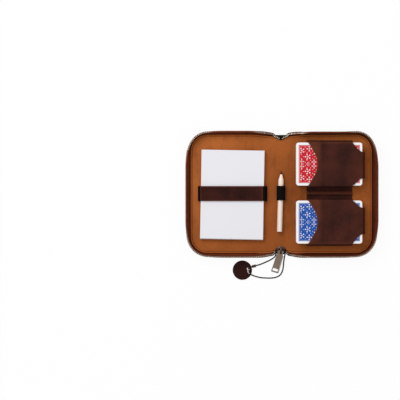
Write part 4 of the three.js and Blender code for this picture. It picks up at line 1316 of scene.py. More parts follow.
@dataclass
class Covers:
    """Outer leather of one half, sewn to its half of the band that wraps the spine."""

    finishes: Finishes
    rim: Rim
    seam: Seam = Seam(0.0032, 0.0024, 0.0003)
    start: float = 0.0258
    skin_faces: int = 150
    band_reach: float = 0.0265
    band_lift: float = 0.00012
    band_thickness: float = 0.00115
    seam_inset: float = 0.0029
    seam_level: float = 0.0003
    band_seams: tuple[float, ...] = (0.0241, 0.0223)
    groove_depth: float = 0.0002
    skin_cuts: tuple[float, ...] = (0.0270, 0.0290)
    roll: float = 0.0008
    roll_height: float = 0.0007
    inner_rows: int = 10
    section: tuple[Pair, ...] = (
        (0.0070, 0.00160), (0.0006, 0.00160), (0.00015, 0.00140), (0.0, 0.00100), (0.00015, 0.00060),
        (0.0006, 0.00036), (0.0022, 0.00030), (0.0026, 0.00042), (0.0029, 0.00048), (0.0032, 0.00042),
        (0.0036, 0.00030), (0.0070, 0.00030),
    )
    edge_steps: tuple[float, ...] = (0.0, 0.0003, 0.0008, 0.0022, 0.0026, 0.0029, 0.0032, 0.0036)
    band_steps: tuple[float, ...] = (0.0185, 0.0205, 0.0219, 0.0223, 0.0227, 0.0237, 0.0241, 0.0245)

    def build(self) -> None:
        """Makes the cover, its band and their seams."""
        side, rim = self.rim.side, self.rim
        leather = self.finishes.cover_leather
        skin = rim.slab(side.word + "_skin", self.start, self.section, self.skin_faces, self.skin_cuts)
        rim.fit(skin.attribute("wear", self.wear))
        skin.dress(leather, "cover_leather", 50).ride(side.body, side.word + "_cover_leather")
        band = self.band(side.word + "_band")
        rim.fit(band.attribute("wear", self.wear))
        nodes = [side.word + "_spine_flap"] + (["spine_leather"] if side is Side.BACK else [])
        band.dress(leather, "cover_leather", 50).bend_with(side, *nodes)
        self.seams()

    def wear(self, point: Vector) -> float:
        """Rubbed edges: most at the very edge and along the band's sewn edge, a little at the fold."""
        rim = fade(self.rim.inset_at(point), 0.0002, 0.0030)
        sewn = fade(abs(point.x - self.band_reach), 0.0003, 0.0018)
        return max(0.5 * rim, 0.5 * sewn, 0.2 * fade(point.x, 0.007, 0.017))

    def band(self, name: str) -> Piece:
        """Half of the band: a sheet rolled at its two ends and at its sewn edge."""
        reach, steps = self.band_reach, self.edge_steps
        xs = [i * 0.00105 for i in range(17)] + list(self.band_steps) + [reach - step for step in steps[2::-1]]
        rows = 2 * len(steps) + self.inner_rows - 1

        def depth(inset: float) -> float:
            """How far the leather turns up towards a rolled edge."""
            share = max(1 - inset / self.roll, 0.0)
            return self.roll_height * share * share + self.groove_depth * tent(inset, self.seam_inset, 0.0006)

        def place(u: float, v: float) -> Vector:
            """A point of the sheet."""
            x = xs[round(u * (len(xs) - 1))]
            row = round(v * rows)
            half = self.rim.edge(x) + self.band_lift
            if len(steps) <= row < len(steps) + self.inner_rows:
                share = (row - len(steps) + 1) / (self.inner_rows + 1)
                y = lerp(-half + steps[-1], half - steps[-1], share)
                return Vector((x, y, max(depth(reach - x), self.groove(x))))
            inset, sign = (steps[row], -1) if row < len(steps) else (steps[rows - row], 1)
            z = max(depth(inset), depth(reach - x) if reach - x < self.roll else self.groove(x))
            return Vector((x, sign * (half - inset), z))

        return Piece.grid(name, len(xs) - 1, rows, place).thicken(self.band_thickness, 1).outwards()

    def groove(self, x: float) -> float:
        """Depth of the two sewn lines along the band's edge."""
        return self.groove_depth * max(tent(x, seam, 0.0004) for seam in self.band_seams)

    def seams(self) -> None:
        """Sews the cover's edge, the band's ends and the band's two long lines."""
        side, rim, inset, z = self.rim.side, self.rim, self.seam_inset, self.seam_level
        lift = Vector((0, 0, 0.00032))
        edge = [(point - out * inset + lift, DOWN) for point, out in rim.outline(self.band_reach + 0.001)]
        edge_seam = rim.fit(self.seam.sew(side.word + "_edge_seam", edge))
        edge_seam.dress(self.finishes.brown_thread, "cover_leather").ride(side.body)
        xs = [0.0005 + i * (self.band_reach - 0.0035) / 12 for i in range(13)]
        lines = [[(Vector((x, sign * (rim.edge(x) - inset), z)), DOWN) for x in xs] for sign in (1, -1)]
        for x in self.band_seams:
            half = rim.edge(x) - inset
            lines.append(straight((x, -half, z), (x, half, z), DOWN))
        band_seam = rim.fit(self.seam.sew_all(side.word + "_band_seam", lines))
        band_seam.dress(self.finishes.brown_thread, "cover_leather").bend_with(side)


@dataclass
class ZipWall:
    """Sewn wall of one half: a gusset of leather, the zip's tape inside its top and the teeth on the tape."""

    finishes: Finishes
    rim: Rim
    stations: int = 150
    gusset_thickness: float = 0.0015
    gusset_levels: int = 7
    lowest_top: float = 0.0026
    # share of the worn tone that makes the front half's wall paler than the back's
    front_paler: float = 0.3
    tape_thickness: float = 0.0008
    tape_levels: int = 5
    tape_shows: float = 0.0005
    tape_overlap: float = 0.004
    tape_gap: float = 0.0003
    tape_size: Pair = (0.39, 0.0072)
    floor: float = 0.0044
    tooth_height: float = 0.00165
    tooth_width: float = 0.0018
    tooth_length: float = 0.00115
    tooth_edge: float = 0.0003
    pitch: float = 0.0024
    seam_drop: float = 0.0015
    seam_from: float = 0.0052

    def build(self) -> None:
        """Makes the three layers and the seam."""
        side, finishes, fit = self.rim.side, self.finishes, self.rim.fit
        # the front half's wall is paler than the back's
        rubbed = self.front_paler if side is Side.FRONT else 0.0
        wall = fit(self.gusset(side.word + "_wall").attribute("wear", lambda point: rubbed))
        wall.dress(finishes.gusset_leather, "gusset_leather", 50).bend_with(side, side.word + "_gusset")
        tape = fit(self.tape(side.word + "_tape"))
        tape.dress(finishes.zip_tape, "zip_tape").bend_with(side, side.word + "_zip_tape")
        teeth = fit(self.teeth(side.word + "_teeth"))
        teeth.dress(finishes.tooth_metal, "zip_teeth", 30).bend_with(side, side.word + "_zip_teeth")
        seam = fit(self.seam(side.word + "_wall_seam"))
        seam.dress(finishes.brown_thread, "gusset_leather").bend_with(side)

    def gusset_top(self, station: Station) -> float:
        """Upper edge of the leather."""
        return max(station.top - self.tooth_height - self.tape_gap - self.tape_shows, self.lowest_top)

    def gusset(self, name: str) -> Piece:
        """The leather strip, rounded at its upper edge."""
        places = self.rim.stations(self.stations)

        def place(u: float, v: float) -> Vector:
            """A point of the strip's middle."""
            station = places[round(u * self.stations)]
            return self.rim.wall(station, lerp(self.rim.foot, self.gusset_top(station), v), 0)

        strip = Piece.grid(name, self.stations, self.gusset_levels, place)
        return strip.thicken(self.gusset_thickness, 0).outwards().ease(0.00045, 3)

    def tape(self, name: str) -> Piece:
        """The woven tape, its upper edge inside the teeth."""
        places = self.rim.zip_row(self.stations)
        last = len(places) - 1

        def place(u: float, v: float) -> Vector:
            """A point of the tape's middle."""
            station = places[round(u * last)]
            low = max(self.gusset_top(station) - self.tape_overlap, self.floor)
            return self.rim.row(station, lerp(low, station.top - 0.6 * self.tooth_height, v))

        tape = Piece.grid(name, last, self.tape_levels, place, self.tape_size)
        tape.thicken(self.tape_thickness, 0).outwards()
        return tape.attribute("wear", lambda point: smoothstep(abs(point.x), 0.0105, 0.020))

    def teeth(self, name: str) -> Piece:
        """One tooth, copied along the row."""
        length, width, height = self.tooth_length / 2, self.tooth_width / 2, self.tooth_height
        tooth = Piece.box("tooth", (-length, -width, 0), (length, width, height * 0.8))
        tooth.facing_up().inset(self.tooth_edge).extrude(0, 0, height * 0.2)
        tooth.edges_along(2, height * 0.7).bevel(self.tooth_edge, 1).done()
        row = self.rim.zip_row(self.stations)
        ends = [(self.rim.row(station, station.top - height), self.rim.row(station, station.top)) for station in row]
        line = [(low, (high - low).normalized()) for low, high in ends]
        # the wear attribute here is a painted reflection, not plating
        return tooth.copies(name, places_along(line, self.pitch)).attribute("wear", self.painted_reflection_brown)

    @staticmethod
    def painted_reflection_brown(point: Vector) -> float:
        """Painted reflection: brown, as if the teeth mirrored the leather, full at the sides and the top's middle; none
        at the corners, the bottom and the spine, where they stay bright as if glinting.
        """
        side = smoothstep(point.x, 0.121, 0.128) * fade(abs(point.y), 0.050, 0.064)
        upper = smoothstep(point.y, 0.075, 0.080) * smoothstep(point.x, 0.026, 0.040)
        return max(side, upper * fade(point.x, 0.090, 0.104))

    def seam(self, name: str) -> Piece:
        """Stitches through leather and tape, seen on both sides of the wall."""
        high = [s for s in self.rim.stations(self.stations) if self.gusset_top(s) > self.seam_from]
        half = self.gusset_thickness / 2 + 0.00005
        lines = []
        for sign in (1, -1):
            points = [self.rim.wall(s, self.gusset_top(s) - self.seam_drop, sign * half) for s in high]
            lines.append([(point, s.out * -sign) for point, s in zip(points, high)])
        return Seam().sew_all(name, lines)


@dataclass
class Lining:
    """Suede lining of one half with its turned, sewn edge."""

    finishes: Finishes
    rim: Rim
    seam: Seam = Seam(0.003, 0.0022, 0.00024)
    seam_start: float = 0.0115
    seam_level: float = 0.0038
    groove: float = 0.0039
    groove_half: float = 0.0006
    droop_reach: float = 0.0009
    faces: int = 170
    cuts: tuple[float, ...] = tuple(0.0028 + 0.00105 * i for i in range(14))
    section: tuple[Pair, ...] = (
        (0.0064, 0.00410), (0.0048, 0.00410), (0.0044, 0.00404), (0.0041, 0.00378), (0.0038, 0.00374),
        (0.0035, 0.00396), (0.0031, 0.00430), (0.0026, 0.00438), (0.0021, 0.00424), (0.00185, 0.00392),
        (0.0018, 0.00340), (0.0020, 0.00312), (0.0064, 0.00310),
    )

    def build(self) -> None:
        """Makes the lining and the stitches in its groove."""
        side, rim = self.rim.side, self.rim
        layer = rim.slab(side.word + "_suede", 0.0, self.section, self.faces, self.cuts)
        # edge attribute: painted highlight on the turned edge, painted shade in the groove
        self.droop(rim.settle(layer.attribute("edge", self.bead_highlight_groove_shade))).mirror(side)
        nodes = [side.word + "_lining"] + (["spine_lining"] if side is Side.BACK else [])
        layer.dress(self.finishes.suede, "lining_suede", 60).bend_with(side, *nodes)
        lift = Vector((0, 0, self.seam_level))
        line = [(point - out * self.groove + lift, UP) for point, out in rim.outline(self.seam_start)]
        seam = self.droop(rim.settle(self.seam.sew(side.word + "_lining_seam", line))).mirror(side)
        seam.dress(self.finishes.lining_thread, "lining_suede").bend_with(side)

    def droop(self, piece: Piece) -> Piece:
        """Lets the lower edge lie a little further out beside the slider."""
        for vertex in piece.done().obj.data.vertices:
            beside = smoothstep(vertex.co.x, 0.009, 0.014) * fade(vertex.co.x, 0.022, 0.036)
            vertex.co.y -= self.droop_reach * beside * fade(vertex.co.y, -0.078, -0.066)
        return piece

    def bead_highlight_groove_shade(self, point: Vector) -> float:
        """Painted light: 1 on the turned edge's highlight, falling to 0 past the groove, below 0 for the painted shade
        in the groove.
        """
        inset = self.rim.inset_at(point)
        return fade(inset, 0.0031, 0.0038) - tent(inset, self.groove, self.groove_half)


@dataclass
class Pocket:
    """Leather pocket for two decks: walls, a ridge sewn down between them, hollow mouths and cut corners."""

    finishes: Finishes
    seam: Seam = Seam()
    middle: float = 0.00165
    mouth_x: float = 0.0353
    mouth_depth: float = 0.0137
    mouth_half: float = 0.031
    deck_middle: float = 0.03915
    crease: float = 0.0523
    crease_half: float = 0.0012
    cut_x: float = 0.0968
    end_x: float = 0.1095
    end_parts: int = 7
    near_edge: float = 0.01065
    far_edge: float = 0.06765
    end_near: float = 0.01995
    end_far: float = 0.05535
    hollow: float = 0.0019
    leather: float = 0.0012
    bend: float = 0.002
    bend_parts: int = 4
    panel_columns: int = 22
    top: float = 0.0216
    panel_from: float = 0.02
    sag: float = 0.0003
    sag_waves: float = 260
    ridge: tuple[Pair, ...] = (
        (0.0, 0.0070), (0.0013, 0.0070), (0.0024, 0.0068), (0.0030, 0.0058), (0.0036, 0.0053), (0.0058, 0.0052),
        (0.0079, 0.0054), (0.00855, 0.0062), (0.00845, 0.0125),
    )
    foot: tuple[Pair, ...] = (
        (0.06985, 0.0125), (0.06975, 0.0062), (0.0702, 0.0054), (0.0712, 0.0053), (0.07155, 0.0050)
    )
    drop: tuple[Pair, ...] = (
        (0.1104, 0.0212), (0.1110, 0.0198), (0.1122, 0.0130), (0.1131, 0.0066), (0.1136, 0.0055), (0.1140, 0.0053),
        (0.1142, 0.0044),
    )
    mouth_shares: tuple[float, ...] = (0.0, 0.04, 0.15, 0.3, 0.5, 0.75)
    beyond_crease: tuple[float, ...] = (-0.0004, 0.0, 0.0004, 0.004, 0.012, 0.02, 0.028, 0.036, 0.041, 0.0445)

    def build(self) -> None:
        """Makes the pocket's leather and its seams."""
        pocket = Piece.joined("deck_pocket", [self.body().obj, self.end(1).obj, self.end(-1).obj])
        pocket.merge(1e-5).thicken(self.leather).ease(0.0003)
        # wear attribute: rubbed bends and end, with painted light and painted highlights on the panel, mouth and ridge
        pocket.attribute("wear", self.wear)
        pocket.dress(self.finishes.pocket_leather, "pocket_leather", 45).ride("back_half", "card_pocket")
        self.seams()

    def section(self) -> list[Pair]:
        """Outer face of the leather from the middle line to the outer sewn edge, as distance and height."""
        near, far, bend, parts = self.near_edge, self.far_edge, self.bend, self.bend_parts
        angles = [QUARTER * i / parts for i in range(parts + 1)]
        level = self.top - bend
        rise = [(near - bend * math.cos(a), level + bend * math.sin(a)) for a in angles]
        flat = [(lerp(near, far, i / self.panel_columns), self.top) for i in range(1, self.panel_columns)]
        fall = [(far + bend * math.sin(a), level + bend * math.cos(a)) for a in angles]
        return [*self.ridge, *rise, *flat, *fall, *self.foot]

    def mouth(self, distance: float) -> float:
        """Where the leather starts at a distance from the middle line."""
        share = min(abs(distance - self.deck_middle) / self.mouth_half, 1.0)
        return self.mouth_x + self.mouth_depth * math.cos(QUARTER * share)

    def sunk(self, distance: float) -> float:
        """How far the panel sags between the cards' edges."""
        return self.sag * math.sin(distance * self.sag_waves) ** 2

    def body(self) -> Piece:
        """The sheet from the mouths to where the corners are cut."""
        half = self.section()
        whole = [(-d, z) for d, z in reversed(half[1:])] + half
        shares, beyond = self.mouth_shares, self.beyond_crease
        rows = len(shares) + len(beyond) - 1

        def place(u: float, v: float) -> Vector:
            """A point of the leather's outer face."""
            distance, z = whole[round(v * (len(whole) - 1))]
            row = round(u * rows)
            if row < len(shares):
                x = lerp(self.mouth(abs(distance)), self.crease - self.crease_half, shares[row])
            else:
                x = self.crease + beyond[row - len(shares)]
            if z > self.panel_from:
                z -= 0.00025 * tent(x, self.crease, 0.0007)
                z -= self.sunk(abs(distance)) * smoothstep(x, 0.05, 0.07)
            return Vector((x, self.middle + distance, z))

        return Piece.grid("pocket_body", rows, len(whole) - 1, place)

    def end(self, sign: int) -> Piece:
        """The narrowing end of one deck's panel, turned down to the lining."""
        length = self.end_x - self.cut_x
        flat = [(self.cut_x + i * length / self.end_parts, self.top) for i in range(self.end_parts + 1)]
        profile = [*flat, *self.drop]
        rows = len(profile) - 1

        def place(u: float, v: float) -> Vector:
            """A point of the leather's outer face."""
            row = round(u * rows)
            share = v if sign > 0 else 1 - v
            x, z = profile[row]
            t = min((x - self.cut_x) / length, 1.0)
            hollow = self.hollow * 4 * t * (1 - t)
            near = max(lerp(self.near_edge - 0.002, self.end_near, t) + hollow, self.near_edge)
            far = min(lerp(self.far_edge + 0.0005, self.end_far, t) - hollow, self.far_edge)
            if row < len(flat):
                z -= self.sunk(lerp(self.near_edge, self.far_edge, share))
            return Vector((x, self.middle + sign * lerp(near, far, share), z))

        return Piece.grid("pocket_end", rows, self.panel_columns, place)

    def wear(self, point: Vector) -> float:
        """Painted light between mouth and crease, lighter on each deck's upper side, with a painted highlight at the
        mouth's edge and on the ridge; also rubbed bends and a paler end.
        """
        distance = abs(point.y - self.middle)
        end = 0.13 * smoothstep(point.x, 0.086, 0.104)
        bend = 0.25 * fade(abs(point.z - 0.0212), 0.0003, 0.0009) * (distance > 0.0675)
        # painted highlight along the top of the ridge between the decks
        ridge = 0.35 * smoothstep(point.z, 0.0064, 0.0069) * fade(distance, 0.001, 0.0026) * (point.z <= 0.0105)
        # painted light: the strip between mouth and crease, lighter on each deck's upper side
        upper = smoothstep(point.y - math.copysign(self.deck_middle, point.y), -0.012, 0.020)
        strip = lerp(0.22, 0.58, upper) * fade(point.x, self.crease - 0.0014, self.crease + 0.0020)
        # painted highlight along the mouth's edge
        mouth_highlight = 0.5 * fade(point.x - self.mouth(distance), 0.0004, 0.0014)
        return max((strip + mouth_highlight) * (point.z > 0.015), ridge, bend, end)

    def mouth_line(self, sign: int, inset: float, parts: int = 40) -> Line:
        """The stitches' line round one mouth."""
        line, nudge = [], 1e-4
        for i in range(parts + 1):
            distance = lerp(self.near_edge + 0.0006, self.far_edge - 0.0006, i / parts)
            slope = (self.mouth(distance + nudge) - self.mouth(distance - nudge)) / (2 * nudge)
            out = Vector((1, -sign * slope, 0)).normalized() * inset
            line.append((Vector((self.mouth(distance), self.middle + sign * distance, self.top)) + out, UP))
        return line

    def seams(self) -> None:
        """Stitches round the mouths, along the grooves and along the outer edges."""
        start, end = self.mouth_x + 0.002, self.cut_x - 0.002
        lines = []
        for sign in (1, -1):
            lines.append(self.mouth_line(sign, 0.0021))
            for distance, z in ((0.0052, 0.0053), (0.0706, 0.0054)):
                y = self.middle + sign * distance
                lines.append(straight((start, y, z), (end, y, z), UP))
            near, far = (self.middle + sign * d for d in (self.end_near + 0.002, self.end_far - 0.002))
            lines.append(straight((0.1135, near, 0.0056), (0.1135, far, 0.0056), UP))
        stitches = self.seam.sew_all("pocket_seams", lines)
        stitches.dress(self.finishes.dark_thread, "pocket_leather").ride("back_half")


@dataclass
class Deck:
    """A deck of cards: the stack in a few packets, and the patterned card on top."""

    finishes: Finishes
    colour: str
    ink: Colour
    middle_y: float
    start: float = 0.0205
    length: float = 0.089
    width: float = 0.058
    corner: float = 0.0035
    corner_parts: int = 8
    low: float = 0.0041
    top: float = 0.0201
    card: float = 0.0003
    packets: tuple[float, ...] = (0.0, 0.00012, -0.0001, 0.00006, -0.00014, 0.0001)

    def slab(self, name: str, low: float, high: float, shift: float, ease: float) -> Piece:
        """Cards between two heights, with rounded corners and eased edges."""
        x, y, half = self.start + shift, self.middle_y + shift / 2, self.width / 2
        slab = Piece.box(name, (x, y - half, low), (x + self.length, y + half, high))
        slab.edges_along(2, 1e-5).bevel(self.corner, self.corner_parts)
        return slab.ease(ease, 1, 60)

    def build(self) -> None:
        """Makes the stack and the top card."""
        body, top = self.colour + "_deck", self.top - self.card
        depth = (top - self.low) / len(self.packets)
        packets = []
        for i, shift in enumerate(self.packets):
            low = self.low + i * depth
            packets.append(self.slab("packet", low, low + depth, shift, 0.00012).obj)
        stack = Piece.joined(self.colour + "_cards", packets)
        stack.dress(self.finishes.card_edges, "card_edges").ride(body, self.colour + "_deck_stack")
        card = self.slab(self.colour + "_back_card", top, self.top, 0.0, 0.00008)
        middle, half = (self.start + self.length / 2, self.middle_y), (self.length / 2, self.width / 2)
        back = CardBack(self.colour + "_card_back", self.ink, middle, half).material()
        card.dress(back, self.colour + "_card_back").ride(body, self.colour + "_top_card")


@dataclass
class NotePad:
    """Glued note pad: its block of sheets, three loose top sheets and the gummed strip."""

    finishes: Finishes
    centre: Pair = (-0.0657, -0.0003)
    width: float = 0.085
    length: float = 0.120
    yaw_deg: float = 1.0
    low: float = 0.0049
    top: float = 0.0111
    loose_depth: float = 0.00075
    block_cuts: tuple[float, ...] = (0.0062, 0.0080, 0.0093)
    block_groove: float = 0.00012
    strip_reach: Pair = (0.0007, 0.0003)
    strip_drop: float = 0.0008
    sheet: float = 0.00012
    sheet_pitch: float = 0.00021
    sheet_faces: tuple[int, int] = (10, 14)
    curl: float = 0.003
    curl_from: float = 1.62
    loose: tuple[Pair, ...] = ((0.0, 0.0), (0.15, 0.0002), (-0.12, -0.00015))

    def build(self) -> None:
        """Makes the pad's pieces."""
        turn = Matrix.Translation((*self.centre, 0)) @ Matrix.Rotation(-math.radians(self.yaw_deg), 4, "Z")
        x, y = self.width / 2, self.length / 2
        level = self.top - self.loose_depth
        block = Piece.box("sheet_block", (-x, -y, self.low), (x, y, level)).cut_across(self.block_cuts, 2)
        low, high = self.block_cuts[:2]
        block.pick(Kind.FACE, lambda f: abs(f.normal.z) < 0.1 and low < f.calc_center_median().z < high)
        block.inset(0.0, -self.block_groove).ease(0.0001, 1).move(turn)
        block.dress(self.finishes.page_edges, "note_paper").ride("note_pad", "note_sheets")
        for i, (angle, shift) in enumerate(self.loose):
            sheet_level = level + self.sheet + i * self.sheet_pitch
            self.top_sheet(f"loose_sheet_{i}", sheet_level, math.radians(angle), shift, turn)
        far, near = self.strip_reach
        strip = Piece.box("gum_strip", (-x, -y - far, self.low - self.strip_drop), (x, -y - near, self.top))
        strip.edges_along(0, x).bevel(0.00015, 2).move(turn)
        strip.dress(self.finishes.page_edges, "note_paper").ride("note_pad", "note_binding")

    def top_sheet(self, name: str, level: float, angle: float, shift: float, turn: Matrix) -> None:
        """Makes one loose sheet whose free corner lifts a little.

        Args:
            name: the piece.
            level: height of its lower face.
            angle: how far it is turned about the gummed edge.
            shift: how far it has slipped sideways.
            turn: the pad's own place.
        """

        def place(u: float, v: float) -> Vector:
            """A point of the sheet."""
            lift = self.curl * max(u + v - self.curl_from, 0.0) ** 2
            return Vector(((u - 0.5) * self.width + shift, (v - 0.5) * self.length, level + lift))

        sheet = Piece.grid(name, *self.sheet_faces, place, (self.width, self.length))
        edge = Vector((0, self.length / 2, 0))
        pivot = Matrix.Translation(-edge) @ Matrix.Rotation(angle, 4, "Z") @ Matrix.Translation(edge)
        sheet.thicken(self.sheet, 1).outwards().move(turn @ pivot)
        sheet.dress(self.finishes.page, "note_paper").ride("note_pad")


@dataclass
class Strap:
    """Elastic band over the note pad with its stitched leather face."""

    finishes: Finishes
    seam: Seam = Seam(0.0028, 0.002, 0.00025)
    middle_y: float = 0.0010
    half_width: float = 0.0101
    elastic: float = 0.0008
    band_faces: tuple[int, int] = (90, 8)
    face_faces: tuple[int, int] = (84, 26)
    route: tuple[Pair, ...] = (
        (-0.1120, 0.0043), (-0.1112, 0.0070), (-0.1101, 0.0104), (-0.1092, 0.0116), (-0.1080, 0.0118),
        (-0.0657, 0.0118), (-0.0232, 0.0118), (-0.0220, 0.0116), (-0.0211, 0.0104), (-0.0196, 0.0070),
        (-0.0184, 0.0043),
    )
    low: tuple[float, float, float] = (-0.1089, -0.0089, 0.0122)
    high: tuple[float, float, float] = (-0.0242, 0.0109, 0.0135)
    corner: float = 0.0015
    seam_inset: float = 0.0017
    groove: float = 0.00022
    border_drop: float = 0.0003
    rubbed_line: float = 0.0022

    @staticmethod
    def even_border(share: float, border: float) -> float:
        """A share of the way across, its steps gathered near both ends."""
        near = min(share, 1 - share)
        made = near * border * 5 if near < 0.2 else lerp(border, 0.5, (near - 0.2) / 0.3)
        return made if share < 0.5 else 1 - made

    def inset_at(self, x: float, y: float) -> float:
        """How far inside the leather's edge a point lies."""
        return min(x - self.low[0], self.high[0] - x, y - self.low[1], self.high[1] - y)

    def face_point(self, u: float, v: float) -> Vector:
        """A point of the leather's upper face, its corners rounded and its border pressed down."""
        low, high = self.low, self.high
        x, y = lerp(low[0], high[0], self.even_border(u, 0.02)), lerp(low[1], high[1], self.even_border(v, 0.09))
        pull = self.corner - min(x - low[0], high[0] - x)
        if pull > 0:
            reach = self.corner - math.sqrt(max(self.corner**2 - pull**2, 0.0))
            y = min(max(y, low[1] + reach), high[1] - reach)
        inset = self.inset_at(x, y)
        groove = self.groove * tent(inset, self.seam_inset, 0.0005)
        return Vector((x, y, high[2] - groove - self.border_drop * max(1 - inset / 0.0006, 0.0) ** 2))

    def wear(self, point: Vector) -> float:
        """Rubbed edge of the leather, and a rubbed line at its outer end."""
        end = 0.3 * fade(abs(self.high[0] - self.rubbed_line - point.x), 0.0004, 0.0012)
        return max(0.75 * fade(self.inset_at(point.x, point.y), 0.0002, 0.0013), end)

    def build(self) -> None:
        """Makes the band, the leather and its seam."""

        def across(point: Vector, side: float) -> Vector:
            """The band's point beside its route, its edges a little lower."""
            return Vector((point.x, self.middle_y + side * self.half_width, point.z - 0.00008 * side**4))

        line = Route([(x, 0, z) for x, z in self.route], 8)
        band = line.band("pad_elastic", self.band_faces, across, 2 * self.half_width)
        band.thicken(self.elastic, 0).outwards().ease(0.0002, 2, 60)
        band.dress(self.finishes.elastic, "black_elastic").ride("front_half", "strap_elastic")
        leather = Piece.grid("strap_face", *self.face_faces, self.face_point)
        leather.thicken(self.high[2] - self.low[2]).outwards().attribute("wear", self.wear)
        leather.dress(self.finishes.strap_leather, "strap_leather", 50).ride("front_half", "strap_leather")
        z, inset = self.high[2] - 0.00005, self.seam_inset
        left, right = self.low[0] + inset, self.high[0] - inset
        near, far = self.low[1] + inset, self.high[1] - inset
        corners = [(left, near, z), (right, near, z), (right, far, z), (left, far, z)]
        lines = [straight(a, b, UP) for a, b in zip(corners, corners[1:] + corners[:1])]
        seam = self.seam.sew_all("strap_seam", lines)
        seam.dress(self.finishes.rust_thread, "strap_leather").ride("front_half")


@dataclass
class Pencil:
    """Round pencil: its wooden barrel and cone, the lead, and the elastic loop on the spine."""

    finishes: Finishes
    middle: tuple[float, float, float] = (-0.0005, -0.0096, 0.00795)
    yaw_deg: float = 1.83
    radius: float = 0.00355
    length: float = 0.0820
    cone: float = 0.0122
    wood_tip: float = 0.00126
    lead: float = 0.00112
    lead_out: float = 0.00003
    lead_blunt: float = 0.0003
    loop_middle: Pair = (0.0004, 0.00165)
    loop_radius: float = 0.005
    loop_level: float = 0.00815
    loop_half: float = 0.00975
    loop_thickness: float = 0.0009
    loop_faces: tuple[int, int] = (48, 6)
    loop_foot: tuple[Pair, ...] = ((0.0056, 0.0044), (0.0051, 0.0057))

    def build(self) -> None:
        """Makes the barrel, the lead and the loop."""
        turn = (
            Matrix.Translation(self.middle)
            @ Matrix.Rotation(-math.radians(self.yaw_deg), 4, "Z")
            @ Matrix.Rotation(-QUARTER, 4, "X")
            @ Matrix.Translation((0, 0, -self.length / 2))
        )
        shoulder, slope = self.length - self.cone, self.cone / self.radius
        rise = self.cone - self.wood_tip * slope
        barrel = Piece.rod("pencil_wood", self.radius, 0, shoulder, 36)
        barrel.facing_up().extrude(0, 0, rise).narrow(self.wood_tip / self.radius).ease(0.0002, 2, 40)
        barrel.cut_across([shoulder * k / 8 for k in range(1, 8)] + [shoulder + rise * k / 3 for k in (1, 2)], 2)
        barrel.attribute("cone", lambda point: smoothstep(point.z, shoulder - 0.0001, shoulder + 0.0001))
        barrel.move(turn).dress(self.finishes.pencil_wood, "pencil_wood", 50).ride("pencil", "pencil_barrel")
        lead = Piece.rod("pencil_point", self.lead, -self.lead_out, self.length - self.lead * slope, 20)
        lead.facing_up().extrude(0, 0, self.lead * slope - self.lead_blunt).narrow(0.5)
        lead.ease(0.00015, 2, 40).move(turn)
        lead.dress(self.finishes.graphite, "pencil_graphite", 50).ride("pencil", "pencil_lead")
        self.loop()

    def loop(self) -> None:
        """Makes the elastic loop: up from the lining, round the pencil and down again."""
        middle_x, middle_y = self.loop_middle
        arch = [(self.loop_radius * math.cos(a), self.loop_level + self.loop_radius * math.sin(a))
                for a in (math.pi * i / 12 for i in range(13))]
        path = [*self.loop_foot, *arch, *((-x, z) for x, z in reversed(self.loop_foot))]
        line = Route([(middle_x + x, 0, z) for x, z in path], 6)

        def across(point: Vector, side: float) -> Vector:
            """The loop's point beside its path."""
            return Vector((point.x, middle_y - side * self.loop_half, point.z))

        loop = line.band("pencil_elastic", self.loop_faces, across, 2 * self.loop_half)
        loop.thicken(self.loop_thickness, 0).outwards().ease(0.0002, 2, 60)
        loop.dress(self.finishes.elastic, "black_elastic").ride("spine", "pencil_loop")


@dataclass
class ZipEnds:
    """The folded tape where the rows end at the top of the spine, and the strip that runs through the slider."""

    finishes: Finishes
    half_width: float = 0.0092
    top_edge: float = 0.0805
    shoulder: float = 0.0786
    tip: float = 0.0736
    tip_half: float = 0.0016
    fold_z: float = 0.0063
    fold_thickness: float = 0.0016
    fold_faces: tuple[int, int] = (30, 8)
    fold_length: float = 0.005
    strip_tail: float = -0.0796
    strip_nose: float = -0.0723
    strip_tongue: float = 0.0018
    strip_side: float = -0.0772
    strip_z: Pair = (0.0073, 0.0055)
    strip_thickness: float = 0.0012
    strip_faces: tuple[int, int] = (24, 6)
    strip_length: float = 0.0073

    def fold_point(self, u: float, v: float) -> Vector:
        """A point of the folded tape's upper face."""
        x = (u - 0.5) * 2 * self.half_width
        share = min(max((abs(x) - self.tip_half) / (self.half_width - self.tip_half), 0), 1)
        z = self.fold_z - 0.0009 * (2 * v - 1) ** 4 - 0.0004 * math.exp(-((x / 0.0006) ** 2))
        return Vector((x, lerp(lerp(self.tip, self.shoulder, share), self.top_edge, v), z))

    def strip_point(self, u: float, v: float) -> Vector:
        """A point of the strip's upper face."""
        x = (u - 0.5) * 2 * self.half_width
        side = smoothstep(abs(x), 0.0048, 0.0090)
        nose = lerp(self.strip_nose, self.strip_side, side)
        tail = self.strip_tail - self.strip_tongue * fade(abs(x), 0.0044, 0.0056)
        return Vector((x, lerp(tail, nose, v), lerp(*self.strip_z, side)))

    def build(self) -> None:
        """Makes both pieces of tape."""
        width = 2 * self.half_width
        top = Piece.grid("tape_fold", *self.fold_faces, self.fold_point, (width, self.fold_length))
        strip = Piece.grid("tape_strip", *self.strip_faces, self.strip_point, (width, self.strip_length))
        ends = ((top, self.fold_thickness, "zip_top_end"), (strip, self.strip_thickness, "zip_bottom_end"))
        for piece, thickness, node in ends:
            piece.thicken(thickness).outwards().ease(0.00025, 2, 60)
            piece.dress(self.finishes.zip_tape, "zip_tape").ride("spine", node)


